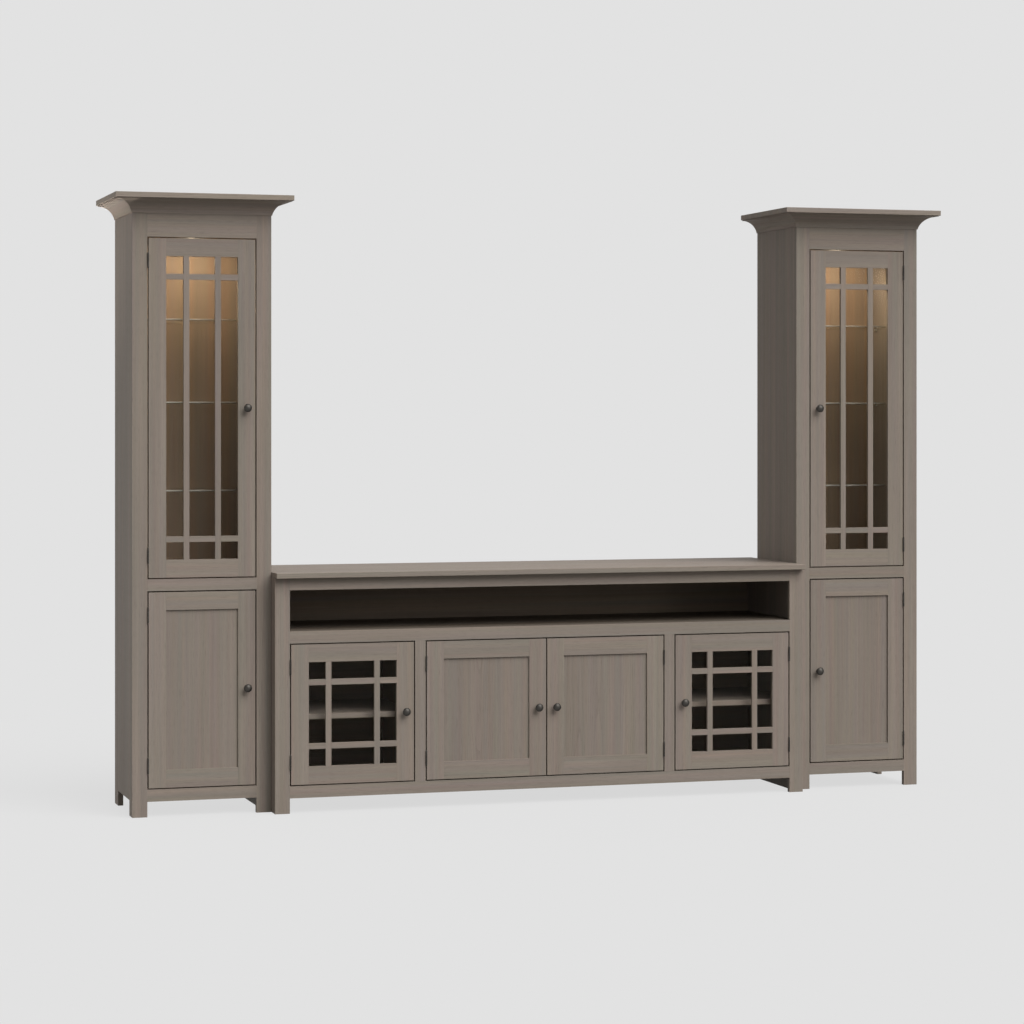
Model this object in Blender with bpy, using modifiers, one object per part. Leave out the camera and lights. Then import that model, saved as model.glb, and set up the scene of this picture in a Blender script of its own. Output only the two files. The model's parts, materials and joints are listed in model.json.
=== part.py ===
"""Entertainment centre in stained oak: a low media console between two tall display towers.

Metres, +Z up, +X to the right as one faces it, -Y towards the viewer. The origin is on the floor at the
centre of the bounding box. The frames are face frames with inset doors, hung on butt hinges whose
barrels stand in front of the faces.
"""

import math

import bmesh
import bpy
from mathutils import Vector

# Clearances and cuts
clearance = 0.0003
overrun = 0.002
turning_merge = 0.00005

# Boards
board_thickness = 0.0185
back_thickness = 0.006
groove_depth = 0.009
dado_depth = 0.006
tongue_shoulder = 0.004
edge_rounding = 0.0015

# Towers
tower_width = 0.483
tower_depth = 0.380
tower_height = 2.130
tower_stile_width = 0.0527
tower_top_rail_height = 0.129
tower_lower_opening_height = 0.6763

# Console
console_width = 1.961
console_depth = 0.500
console_height = 0.830
console_end_stile_width = 0.0527
console_mid_stile_width = 0.0394
console_top_rail_height = 0.0417
console_top_overhang = 0.0276
media_opening_height = 0.1425

# Face frames, feet and decks
rail_height = 0.042
foot_height = 0.0525
front_foot_depth = 0.062
back_foot_depth = 0.072
deck_stop_lip = 0.006

# Crown of a tower
crown_overhang = 0.067
cove_height = 0.048
cove_reveal = 0.006
cove_top_fillet = 0.0025
cove_bottom_lip = 0.0075
cove_bottom_fillet = 0.004
cove_radius = 0.0575
cove_facets = 9

# Doors
door_gap = 0.003
tower_door_stile_width = 0.061
console_door_stile_width = 0.063
door_rail_width = 0.062
muntin_width = 0.020
muntin_thickness = 0.012
corner_pane = 0.060
glass_thickness = 0.004
glazing_rabbet = 0.008
panel_thickness = 0.006

# Butt hinges
barrel_radius = 0.0026
barrel_length = 0.050
barrel_groove = 0.0003
barrel_tip_length = 0.003
barrel_tip_radius = 0.0021
knuckle_count = 3
barrel_sides = 10
leaf_thickness = 0.0011
leaf_depth = 0.014
hinge_inset = 0.052

# Knobs
knob_head_radius = 0.0143
knob_neck_radius = 0.0055
knob_foot_radius = 0.0080
knob_projection = 0.0270
knob_head_thickness = 0.0105
knob_foot_thickness = 0.0025
knob_dome_radius_share = 1.2
knob_rim_share = 0.33
knob_back_share = 0.8
knob_dome_facets = 6
knob_neck_facets = 3
knob_sides = 24

# Shelves and their pins
glass_shelf_thickness = 0.006
glass_shelf_height_shares = (0.2550, 0.5162, 0.7615)
glass_shelf_setback = 0.020
glass_shelf_end_gap = 0.0015
wood_shelf_height = 0.2180
wood_shelf_setback = 0.020
wood_shelf_end_gap = 0.0010
pin_radius = 0.0025
pin_reach = 0.0080
pin_sides = 8
pin_inset_share = 0.18

# Lamp under the top deck of a tower
lamp_radius = 0.032
lamp_lens_radius = 0.024
lamp_height = 0.012
lamp_lens_recess = 0.002
lamp_sides = 32

# Cable holes through the console's back
cable_hole_radius = 0.030
cable_hole_sides = 24
cable_hole_drop = 0.1015

# Colours
oak_colour = (0.235, 0.200, 0.170, 1.0)
inner_oak_colour = (0.150, 0.120, 0.098, 1.0)
pewter_colour = (0.050, 0.048, 0.045, 1.0)
glass_colour = (0.780, 0.840, 0.820, 0.350)
lamp_colour = (0.620, 0.600, 0.560, 1.0)

# Places along Y, from the viewer to the back
knob_reach = knob_projection + clearance
console_front = -(console_depth - max(knob_reach, console_top_overhang)) / 2
console_back = console_front + console_depth
tower_front = console_front + (console_depth - tower_depth) / 2
tower_back = tower_front + tower_depth

# Places along Z that all three units share
bottom_opening = foot_height + rail_height
deck_height = bottom_opening + deck_stop_lip


def clear_scene():
    for item in list(bpy.data.objects):
        bpy.data.objects.remove(item, do_unlink=True)


def new_collection(name):
    made = bpy.data.collections.new(name)
    bpy.context.scene.collection.children.link(made)
    return made


def finish(name, colour, roughness, metallic=0.0):
    """One Principled material for one piece."""
    made = bpy.data.materials.new(name + "_finish")
    made.use_nodes = True
    shader = made.node_tree.nodes["Principled BSDF"]
    shader.inputs["Base Color"].default_value = colour[:3] + (1.0,)
    shader.inputs["Roughness"].default_value = roughness
    shader.inputs["Metallic"].default_value = metallic
    shader.inputs["Alpha"].default_value = colour[3]
    return made


def oak(name):
    return finish(name, oak_colour, 0.55)


def inner_oak(name):
    return finish(name, inner_oak_colour, 0.6)


def glass(name):
    return finish(name, glass_colour, 0.05)


def pewter(name):
    return finish(name, pewter_colour, 0.4, 0.85)


def centre_of(ranges):
    return Vector([(low + high) / 2 for low, high in ranges])


def add_box(bm, ranges, origin):
    """A box over the world ranges (x, y, z), in the coordinates of a piece at origin."""
    made = bmesh.ops.create_cube(bm, size=1.0)["verts"]
    bmesh.ops.scale(bm, vec=[high - low for low, high in ranges], verts=made)
    bmesh.ops.translate(bm, vec=centre_of(ranges) - origin, verts=made)


def add_rod(bm, centre, axis, length, radius, sides, origin):
    """A straight rod along axis, in the coordinates of a piece at origin."""
    made = bmesh.ops.create_cone(
        bm, cap_ends=True, segments=sides, radius1=radius, radius2=radius, depth=length
    )["verts"]
    turn = Vector((0, 0, 1)).rotation_difference(axis).to_matrix()
    bmesh.ops.rotate(bm, cent=(0, 0, 0), matrix=turn, verts=made)
    bmesh.ops.translate(bm, vec=centre - origin, verts=made)


def mesh_object(name, bm, origin, home):
    mesh = bpy.data.meshes.new(name)
    bm.to_mesh(mesh)
    bm.free()
    made = bpy.data.objects.new(name, mesh)
    made.location = origin
    home.objects.link(made)
    return made


def hang_on(piece, pivot):
    """Parents a piece to a pivot without moving it."""
    if pivot is not None:
        piece.parent = pivot
        piece.location = piece.location - pivot.location


def place_of(piece):
    return piece.location + (piece.parent.location if piece.parent else Vector((0, 0, 0)))


def board(name, ranges, material, pivot=None, rounding=0.0):
    """A rectangular board over the world ranges (x, y, z)."""
    origin = centre_of(ranges)
    bm = bmesh.new()
    add_box(bm, ranges, origin)
    made = mesh_object(name, bm, origin, parts)
    made.data.materials.append(material)
    if rounding:
        eased = made.modifiers.new("eased_edges", "BEVEL")
        eased.width = rounding
        eased.segments = 2
    hang_on(made, pivot)
    return made


def helper(name, bm, piece):
    """A hidden mesh that a Boolean of the piece uses, which moves with the piece."""
    made = mesh_object(name, bm, Vector((0, 0, 0)), cutters)
    made.parent = piece
    made.hide_render = True
    made.display_type = "WIRE"
    return made


def boolean(piece, operand, operation):
    modifier = piece.modifiers.new(operand.name, "BOOLEAN")
    modifier.operation = operation
    modifier.object = operand
    modifier.solver = "EXACT"


def cut_boxes(piece, name, boxes):
    """Cuts boxes that lie clear of each other out of a piece."""
    bm = bmesh.new()
    for ranges in boxes:
        add_box(bm, ranges, place_of(piece))
    boolean(piece, helper(piece.name + "_" + name, bm, piece), "DIFFERENCE")


def join_boxes(piece, name, boxes):
    bm = bmesh.new()
    for ranges in boxes:
        add_box(bm, ranges, place_of(piece))
    boolean(piece, helper(piece.name + "_" + name, bm, piece), "UNION")


def join_rods(piece, name, centres, axis, length, radius, sides):
    bm = bmesh.new()
    for centre in centres:
        add_rod(bm, Vector(centre), Vector(axis), length, radius, sides, place_of(piece))
    boolean(piece, helper(piece.name + "_" + name, bm, piece), "UNION")


def cut_rods(piece, name, centres, axis, length, radius, sides):
    bm = bmesh.new()
    for centre in centres:
        add_rod(bm, Vector(centre), Vector(axis), length, radius, sides, place_of(piece))
    boolean(piece, helper(piece.name + "_" + name, bm, piece), "DIFFERENCE")


def outline_mesh(name, profile):
    """The open profile of a turned piece: (radius, height) points from top to bottom."""
    bm = bmesh.new()
    points = [bm.verts.new((radius, 0, height)) for radius, height in profile]
    for upper, lower in zip(points, points[1:]):
        bm.edges.new((upper, lower))
    mesh = bpy.data.meshes.new(name)
    bm.to_mesh(mesh)
    bm.free()
    return mesh


def turn_profile(piece, sides):
    screw = piece.modifiers.new("turned", "SCREW")
    screw.steps = sides
    screw.render_steps = sides
    screw.use_merge_vertices = True
    screw.merge_threshold = turning_merge
    screw.use_smooth_shade = True


def arc(start, end, radius, facets):
    """Points from start to end on an arc whose centre lies to the right of that direction."""
    start, end = Vector(start), Vector(end)
    half = (end - start) / 2
    aside = Vector((half.y, -half.x)).normalized() * math.sqrt(radius**2 - half.length**2)
    centre = start + half + aside
    first = math.atan2(start.y - centre.y, start.x - centre.x)
    last = math.atan2(end.y - centre.y, end.x - centre.x)
    sweep = (last - first + math.pi) % math.tau - math.pi
    angles = [first + sweep * step / facets for step in range(facets + 1)]
    return [(centre.x + radius * math.cos(a), centre.y + radius * math.sin(a)) for a in angles]


def cove_profile():
    """(outward, downward) points of the crown's moulding, from its back round its hollow face."""
    reach = crown_overhang - cove_reveal
    hollow_end = -(cove_height - cove_bottom_fillet)
    points = [(clearance, overrun), (reach, overrun)]
    # The hollow bulges up and inwards, so it is drawn from its lower end.
    hollow = arc((cove_bottom_lip, hollow_end), (reach, -cove_top_fillet), cove_radius, cove_facets)
    points += reversed(hollow)
    points += [(cove_bottom_lip, -cove_height), (clearance, -cove_height)]
    return points


def moulding_mesh(profile, stations, height, origin):
    """A profile run along stations (x, y, outward x, outward y), mitred where it turns."""
    bm = bmesh.new()
    rings = []
    for x, y, out_x, out_y in stations:
        places = [(x + out * out_x, y + out * out_y, height + up) for out, up in profile]
        rings.append([bm.verts.new(Vector(place) - origin) for place in places])
    for near, far in zip(rings, rings[1:]):
        for corner in range(len(profile)):
            after = (corner + 1) % len(profile)
            bm.faces.new((near[corner], near[after], far[after], far[corner]))
    bm.faces.new(reversed(rings[0]))
    bm.faces.new(rings[-1])
    bmesh.ops.recalc_face_normals(bm, faces=bm.faces)
    return bm


def knob_profile():
    head_back = knob_projection - knob_head_thickness
    rim = (knob_head_radius, head_back + knob_head_thickness * knob_rim_share)
    dome = arc((0, knob_projection), rim, knob_head_radius * knob_dome_radius_share, knob_dome_facets)
    under = (knob_head_radius * knob_back_share, head_back)
    neck = arc((knob_neck_radius, head_back / 2), under, knob_head_radius, knob_neck_facets)
    foot = [(knob_foot_radius, knob_foot_thickness), (knob_foot_radius, 0), (0, 0)]
    return dome + neck[::-1] + foot


def barrel_profile():
    """A hinge barrel: knuckles parted by fine grooves, with a rounded tip at each end."""
    half = barrel_length / 2
    points = [(0, half + barrel_tip_length), (barrel_tip_radius, half + barrel_tip_length / 2)]
    points += [(barrel_tip_radius, half), (barrel_radius, half)]
    for joint in range(1, knuckle_count):
        height = half - barrel_length * joint / knuckle_count
        points += [(barrel_radius, height + barrel_groove), (barrel_radius - barrel_groove, height)]
        points += [(barrel_radius, height - barrel_groove)]
    points += [(barrel_radius, -half), (barrel_tip_radius, -half)]
    points += [(barrel_tip_radius, -half - barrel_tip_length / 2), (0, -half - barrel_tip_length)]
    return points


def lamp_profile():
    recess = lamp_height - lamp_lens_recess
    return [
        (0, 0), (lamp_radius, 0), (lamp_radius, -lamp_height + lamp_lens_recess),
        (lamp_radius - lamp_lens_recess, -lamp_height), (lamp_lens_radius, -lamp_height),
        (lamp_lens_radius - lamp_lens_recess, -recess), (0, -recess),
    ]


def barrel_axis(front):
    """The Y of a hinge axis, so that the barrel just clears the faces at front."""
    return front - barrel_radius - clearance


def add_hinges(frame, x, z, front, side):
    """Two butt hinges on a door: each barrel, and the leaf that lies against the door's edge."""
    edge = x[1] if side > 0 else x[0]
    axis_x = edge + side * door_gap / 2
    half = barrel_length / 2
    levels = (z[1] - hinge_inset - half, z[0] + hinge_inset + half)
    leaf_x = sorted((edge - side * clearance, edge + side * leaf_thickness))
    leaf_y = (barrel_axis(front), front + leaf_depth)
    leaves = [(leaf_x, leaf_y, (level - half, level + half)) for level in levels]
    join_boxes(frame, "leaves", leaves)
    for label, level in zip(("upper", "lower"), levels):
        name = f"{frame.name}_{label}_barrel"
        barrel = bpy.data.objects.new(name, outline_mesh(name, barrel_profile()))
        cutters.objects.link(barrel)
        barrel.location = Vector((axis_x, barrel_axis(front), level)) - place_of(frame)
        barrel.parent = frame
        barrel.hide_render = True
        barrel.display_type = "WIRE"
        turn_profile(barrel, barrel_sides)
        boolean(frame, barrel, "UNION")


def add_knob(name, x, front, height, pivot):
    made = bpy.data.objects.new(name, outline_mesh(name, knob_profile()))
    parts.objects.link(made)
    made.data.materials.append(pewter(name))
    made.location = (x, front - clearance, height)
    made.rotation_euler = (math.pi / 2, 0, 0)
    turn_profile(made, knob_sides)
    hang_on(made, pivot)


def pane_ranges(x, z):
    """The nine lights of a glazed door: small ones in the corners, long ones between them."""
    columns = divided(x)
    rows = divided(z)
    return [(column, row) for column in columns for row in rows]


def divided(span):
    low, high = span
    inner_low = low + corner_pane + muntin_width
    inner_high = high - corner_pane - muntin_width
    return ((low, low + corner_pane), (inner_low, inner_high), (high - corner_pane, high))


def add_door(name, x, z, front, side, stile_width, glazed):
    """An inset door over the ranges x and z, hinged at its left (side -1) or right (side 1) edge."""
    edge = x[1] if side > 0 else x[0]
    pivot = bpy.data.objects.new(name + "_pivot", None)
    parts.objects.link(pivot)
    pivot.location = (edge + side * door_gap / 2, barrel_axis(front), (z[0] + z[1]) / 2)
    y = (front, front + board_thickness)
    frame = board(name + "_frame", (x, y, z), oak(name + "_frame"), pivot)
    hole_x = (x[0] + stile_width, x[1] - stile_width)
    hole_z = (z[0] + door_rail_width, z[1] - door_rail_width)
    if glazed:
        glaze(name, frame, hole_x, hole_z, y, pivot)
    else:
        panel(name, frame, hole_x, hole_z, y, pivot)
    add_hinges(frame, x, z, front, side)
    knob_x = (x[0] if side > 0 else x[1]) + side * stile_width / 2
    add_knob(name + "_knob", knob_x, front, (z[0] + z[1]) / 2, pivot)


def grown(span, amount):
    return (span[0] - amount, span[1] + amount)


def glaze(name, frame, hole_x, hole_z, y, pivot):
    """Cuts the lights and the glass's rabbet, and sets one sheet of glass behind the muntins."""
    muntin_back = y[0] + muntin_thickness
    lights_y = (y[0] - overrun, y[1] + overrun)
    cut_boxes(frame, "lights", [(column, lights_y, row) for column, row in pane_ranges(hole_x, hole_z)])
    rabbet_x = grown(hole_x, glazing_rabbet)
    rabbet_z = grown(hole_z, glazing_rabbet)
    cut_boxes(frame, "rabbet", [(rabbet_x, (muntin_back, y[1] + overrun), rabbet_z)])
    glass_y = (muntin_back + clearance, muntin_back + clearance + glass_thickness)
    ranges = (grown(rabbet_x, -clearance), glass_y, grown(rabbet_z, -clearance))
    board(name + "_glass", ranges, glass(name + "_glass"), pivot)


def panel(name, frame, hole_x, hole_z, y, pivot):
    """Cuts the opening and the groove round it, and sets a flat panel in the groove."""
    cut_boxes(frame, "opening", [(hole_x, grown(y, overrun), hole_z)])
    middle = (y[0] + y[1]) / 2
    panel_y = (middle - panel_thickness / 2, middle + panel_thickness / 2)
    groove_x = grown(hole_x, groove_depth)
    groove_z = grown(hole_z, groove_depth)
    cut_boxes(frame, "groove", [(groove_x, grown(panel_y, clearance), groove_z)])
    ranges = (grown(groove_x, -clearance), panel_y, grown(groove_z, -clearance))
    board(name + "_panel", ranges, oak(name + "_panel"), pivot)


def inner_y(front, back):
    """The depth left for decks between the back of the face frame and the back panel."""
    return (front + board_thickness + clearance, back - back_thickness - clearance)


def add_side(name, outer, inward, front, back, top, decks, material):
    """A side panel with dadoes for the decks' tongues and a rabbet for the back panel.

    outer is the X of its outer face, and inward is 1 or -1 towards the inside."""
    x = sorted((outer, outer + inward * board_thickness))
    y = (front + board_thickness + clearance, back)
    side = board(name, (x, y, (0, top)), material)
    inner = outer + inward * board_thickness
    dado_x = sorted((inner - inward * dado_depth, inner + inward * overrun))
    dado_y = (front, back + overrun)
    tongues = [(deck - board_thickness, deck - tongue_shoulder) for deck in decks]
    cut_boxes(side, "dadoes", [(dado_x, dado_y, grown(tongue_z, clearance)) for tongue_z in tongues])
    rabbet_x = sorted((inner - inward * groove_depth, inner + inward * overrun))
    rabbet_y = (back - back_thickness - clearance, back + overrun)
    rabbet_z = (deck_height - board_thickness - clearance, top + overrun)
    cut_boxes(side, "back_rabbet", [(rabbet_x, rabbet_y, rabbet_z)])
    return side


def add_deck(name, x, y, height):
    """A fixed deck between side panels whose outer faces are at x, with a shouldered tongue at each end."""
    left, right = grown(x, -(board_thickness - dado_depth + clearance))
    deck = board(name, ((left, right), y, (height - board_thickness, height)), inner_oak(name))
    shoulder_z = (height - tongue_shoulder, height + overrun)
    ends = ((left - overrun, left + dado_depth), (right - dado_depth, right + overrun))
    cut_boxes(deck, "shoulders", [(end, grown(y, overrun), shoulder_z) for end in ends])


def pin_places(x, shelf_y, underside):
    """The two pins at one end of a shelf, which just clear its underside."""
    low, high = shelf_y
    inset = (high - low) * pin_inset_share
    height = underside - clearance - pin_radius
    return [(x, low + inset, height), (x, high - inset, height)]


def add_tower(label, hand):
    """One display tower. hand is -1 for the left tower and 1 for the right one."""
    inner_x = hand * (console_width / 2 + clearance)
    outer_x = inner_x + hand * tower_width
    front, back = tower_front, tower_back
    top = tower_height - board_thickness - clearance
    x = sorted((inner_x, outer_x))
    middle_opening = bottom_opening + tower_lower_opening_height
    upper_opening = middle_opening + rail_height
    head = top - tower_top_rail_height
    middle_deck = upper_opening + deck_stop_lip
    top_deck = head + board_thickness
    decks = (deck_height, middle_deck, top_deck)

    prefix = label + "_tower_"
    hole_x = grown(x, -tower_stile_width)
    holes = [(hole_x, (bottom_opening, middle_opening)), (hole_x, (upper_opening, head))]
    add_face_frame(prefix + "face_frame", x, front, top, tower_stile_width, holes)

    outer = add_side(prefix + "outer_side", outer_x, -hand, front, back, top, decks, oak(prefix + "outer"))
    inner = add_side(prefix + "inner_side", inner_x, hand, front, back, top, decks, oak(prefix + "inner"))
    # Only the outer side is cut out between its feet: the one beside the console runs down to the floor.
    notch_x = grown(sorted((outer_x, outer_x - hand * board_thickness)), overrun)
    notch_y = (front + front_foot_depth, back - back_foot_depth)
    cut_boxes(outer, "foot_notch", [(notch_x, notch_y, (-overrun, foot_height))])

    deck_y = inner_y(front, back)
    for deck_name, height in zip(("bottom_deck", "middle_deck", "top_deck"), decks):
        add_deck(prefix + deck_name, x, deck_y, height)
    back_x = grown(x, -(board_thickness - groove_depth + clearance))
    back_z = (deck_height - board_thickness, top)
    board(prefix + "back_panel", (back_x, (back - back_thickness, back), back_z),
          inner_oak(prefix + "back_panel"))

    shelf_x = grown(x, -(board_thickness + glass_shelf_end_gap))
    shelf_y = (deck_y[0] + glass_shelf_setback, deck_y[1] - clearance)
    display_height = top_deck - board_thickness - middle_deck
    pins = []
    for shelf_name, share in zip(("low", "middle", "high"), glass_shelf_height_shares):
        underside = middle_deck + display_height * share - glass_shelf_thickness
        name = prefix + "glass_shelf_" + shelf_name
        board(name, (shelf_x, shelf_y, (underside, underside + glass_shelf_thickness)), glass(name))
        pins += pin_places(0, shelf_y, underside)
    for side, face in ((outer, outer_x - hand * board_thickness), (inner, inner_x + hand * board_thickness)):
        places = [(face, y, z) for _, y, z in pins]
        join_rods(side, "shelf_pins", places, (1, 0, 0), 2 * pin_reach, pin_radius, pin_sides)

    name = prefix + "lamp"
    lamp = bpy.data.objects.new(name, outline_mesh(name, lamp_profile()))
    parts.objects.link(lamp)
    lamp.data.materials.append(finish(name, lamp_colour, 0.3))
    ceiling = top_deck - board_thickness - clearance
    lamp.location = ((inner_x + outer_x) / 2, (deck_y[0] + deck_y[1]) / 2, ceiling)
    turn_profile(lamp, lamp_sides)

    add_crown(prefix + "crown", x, front, back)

    door_x = grown(x, -(tower_stile_width + door_gap))
    add_door(prefix + "lower_door", door_x, grown((bottom_opening, middle_opening), -door_gap),
             front, hand, tower_door_stile_width, False)
    add_door(prefix + "upper_door", door_x, grown((upper_opening, head), -door_gap),
             front, hand, tower_door_stile_width, True)


def add_face_frame(name, x, front, top, stile_width, openings):
    """Stiles and rails in one plane. The end stiles run down to the floor as feet."""
    y = (front, front + board_thickness)
    frame = board(name, (x, y, (0, top)), oak(name))
    feet_x = grown(x, -stile_width)
    holes = [(hole_x, grown(y, overrun), hole_z) for hole_x, hole_z in openings]
    holes.append((feet_x, grown(y, overrun), (-overrun, foot_height)))
    cut_boxes(frame, "openings", holes)


def add_crown(name, x, front, back):
    """The flat crown board with its mitred cove moulding underneath, on three sides."""
    left, right = x
    height = tower_height - board_thickness
    ranges = (grown(x, crown_overhang), (front - crown_overhang, back), (height, tower_height))
    crown = board(name, ranges, oak(name))
    stations = [(left, back, -1, 0), (left, front, -1, -1), (right, front, 1, -1), (right, back, 1, 0)]
    bm = moulding_mesh(cove_profile(), stations, height, place_of(crown))
    boolean(crown, helper(name + "_cove", bm, crown), "UNION")


def add_console():
    """The low console: an open media bay over a row of four doors."""
    half = console_width / 2
    x = (-half, half)
    front, back = console_front, console_back
    top = console_height - board_thickness - clearance
    media_head = top - console_top_rail_height
    media_floor = media_head - media_opening_height
    door_head = media_floor - rail_height
    end_edge = half - console_end_stile_width
    inner_gaps = 7
    door_width = (2 * end_edge - 2 * console_mid_stile_width - inner_gaps * door_gap) / 4
    mid_outer = end_edge - door_width - 2 * door_gap
    mid_inner = mid_outer - console_mid_stile_width
    door_z = (bottom_opening, door_head)

    add_face_frame("console_face_frame", x, front, top, console_end_stile_width, [
        ((-end_edge, end_edge), (media_floor, media_head)),
        ((-end_edge, -mid_outer), door_z),
        ((-mid_inner, mid_inner), door_z),
        ((mid_outer, end_edge), door_z),
    ])
    top_y = (front - console_top_overhang, back)
    top_z = (console_height - board_thickness, console_height)
    board("console_top", (x, top_y, top_z), oak("console_top"), rounding=edge_rounding)

    decks = (deck_height, media_floor)
    left = add_side("console_left_side", -half, 1, front, back, top, decks, oak("console_left_side"))
    right = add_side("console_right_side", half, -1, front, back, top, decks, oak("console_right_side"))
    deck_y = inner_y(front, back)
    add_deck("console_bottom_deck", x, deck_y, deck_height)
    add_deck("console_media_shelf", x, deck_y, media_floor)

    back_x = grown(x, -(board_thickness - groove_depth + clearance))
    back_y = (back - back_thickness, back)
    panel_back = board("console_back_panel", (back_x, back_y, (deck_height - board_thickness, top)),
                       inner_oak("console_back_panel"))

    partition = (mid_outer + mid_inner) / 2
    inside = half - board_thickness
    partition_z = (deck_height + clearance, media_floor - board_thickness - clearance)
    shelf_y = (deck_y[0] + wood_shelf_setback, deck_y[1] - clearance)
    underside = deck_height + wood_shelf_height
    shelf_z = (underside, underside + board_thickness)
    pins = pin_places(0, shelf_y, underside)
    near = partition - board_thickness / 2
    far = partition + board_thickness / 2
    for hand, name in ((-1, "console_left_partition"), (1, "console_right_partition")):
        partition_x = sorted((hand * near, hand * far))
        made = board(name, (partition_x, deck_y, partition_z), inner_oak(name))
        places = [(hand * partition, y, z) for _, y, z in pins]
        through = board_thickness + 2 * pin_reach
        join_rods(made, "shelf_pins", places, (1, 0, 0), through, pin_radius, pin_sides)
    for side, hand in ((left, -1), (right, 1)):
        places = [(hand * inside, y, z) for _, y, z in pins]
        join_rods(side, "shelf_pins", places, (1, 0, 0), 2 * pin_reach, pin_radius, pin_sides)
    gap = wood_shelf_end_gap
    for name, span in (("console_left_shelf", (-inside + gap, -far - gap)),
                       ("console_centre_shelf", (-near + gap, near - gap)),
                       ("console_right_shelf", (far + gap, inside - gap))):
        board(name, (span, shelf_y, shelf_z), inner_oak(name))

    hole_z = media_floor - board_thickness - cable_hole_drop
    middle_y = (back_y[0] + back_y[1]) / 2
    bay = (far + inside) / 2
    holes = [(place, middle_y, hole_z) for place in (-bay, 0, bay)]
    cut_rods(panel_back, "cable_holes", holes, (0, 1, 0), back_thickness + 2 * overrun,
             cable_hole_radius, cable_hole_sides)

    door_spans = (
        ("left_glass_door", (-end_edge + door_gap, -mid_outer - door_gap), -1, True),
        ("centre_left_door", (-mid_inner + door_gap, -door_gap / 2), -1, False),
        ("centre_right_door", (door_gap / 2, mid_inner - door_gap), 1, False),
        ("right_glass_door", (mid_outer + door_gap, end_edge - door_gap), 1, True),
    )
    for name, span, side, glazed in door_spans:
        add_door("console_" + name, span, grown(door_z, -door_gap), front, side,
                 console_door_stile_width, glazed)


def smooth_round_pieces():
    for piece in parts.objects:
        if piece.type == "MESH" and any(modifier.type == "SCREW" for modifier in piece.modifiers):
            piece.data.shade_smooth()


clear_scene()
parts = new_collection("entertainment_centre")
cutters = new_collection("cutters")
cutters.hide_render = True
for tower_label, tower_hand in (("left", -1), ("right", 1)):
    add_tower(tower_label, tower_hand)
add_console()
smooth_round_pieces()
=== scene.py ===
"""Oak joinery, glass, pewter fittings, warm lamps and a pale studio for an entertainment centre."""

import json
import math
import random

import bmesh
import bpy
from mathutils import Matrix, Vector


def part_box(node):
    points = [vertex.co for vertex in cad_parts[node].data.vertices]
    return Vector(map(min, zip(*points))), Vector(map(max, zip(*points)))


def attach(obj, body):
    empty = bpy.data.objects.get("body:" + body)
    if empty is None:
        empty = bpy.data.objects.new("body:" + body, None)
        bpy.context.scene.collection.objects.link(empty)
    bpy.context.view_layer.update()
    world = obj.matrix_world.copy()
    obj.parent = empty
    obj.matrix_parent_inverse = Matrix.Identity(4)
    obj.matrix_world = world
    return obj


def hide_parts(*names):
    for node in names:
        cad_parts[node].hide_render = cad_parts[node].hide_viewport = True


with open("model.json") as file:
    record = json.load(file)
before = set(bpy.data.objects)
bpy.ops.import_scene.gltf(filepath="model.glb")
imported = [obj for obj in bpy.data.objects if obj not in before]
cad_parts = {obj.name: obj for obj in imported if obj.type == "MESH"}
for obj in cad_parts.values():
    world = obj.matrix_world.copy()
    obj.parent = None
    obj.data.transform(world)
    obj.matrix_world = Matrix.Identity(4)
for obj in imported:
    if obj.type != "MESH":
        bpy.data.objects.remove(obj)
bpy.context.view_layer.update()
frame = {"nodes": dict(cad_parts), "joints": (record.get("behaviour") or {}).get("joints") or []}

bl_info = {
    "name": "Entertainment centre in stained oak",
    "version": (1, 0, 0),
    "blender": (4, 5, 0),
    "location": "3D View > Sidebar > Oak centre",
    "description": "Oak joinery, glass, fittings and a pale studio round the packed model",
    "category": "Object",
}

X, Y, Z = range(3)
TOWERS = ("left_tower_", "right_tower_")
UNITS = TOWERS + ("console_",)
# Each side panel, and the direction along X from its outer face to its inside
SIDES = {
    "left_tower_outer_side": 1,
    "left_tower_inner_side": -1,
    "right_tower_outer_side": -1,
    "right_tower_inner_side": 1,
    "console_left_side": 1,
    "console_right_side": -1,
}
PARTITIONS = ("console_left_partition", "console_right_partition")
SHELVES = ("console_left_shelf", "console_centre_shelf", "console_right_shelf")


# ---- Sizes, colours and lights that a user may change


def amount(name, description, default, **settings):
    return bpy.props.FloatProperty(
        name=name, description=description, default=default, min=0, **settings
    )


def length(name, description, default):
    return amount(name, description, default, precision=4, unit="LENGTH")


def share(name, description, default):
    return amount(name, description, default, max=1, subtype="FACTOR")


def power(name, description, default):
    return amount(name, description, default, unit="POWER")


def angle(name, description, degrees):
    return amount(name, description, math.radians(degrees), max=math.pi, subtype="ANGLE")


def channels(name, description, default, **settings):
    return bpy.props.FloatVectorProperty(
        name=name, description=description, default=default, min=0, size=3, **settings
    )


def colour(name, description, default):
    return channels(name, description, default, max=1, subtype="COLOR")


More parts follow.
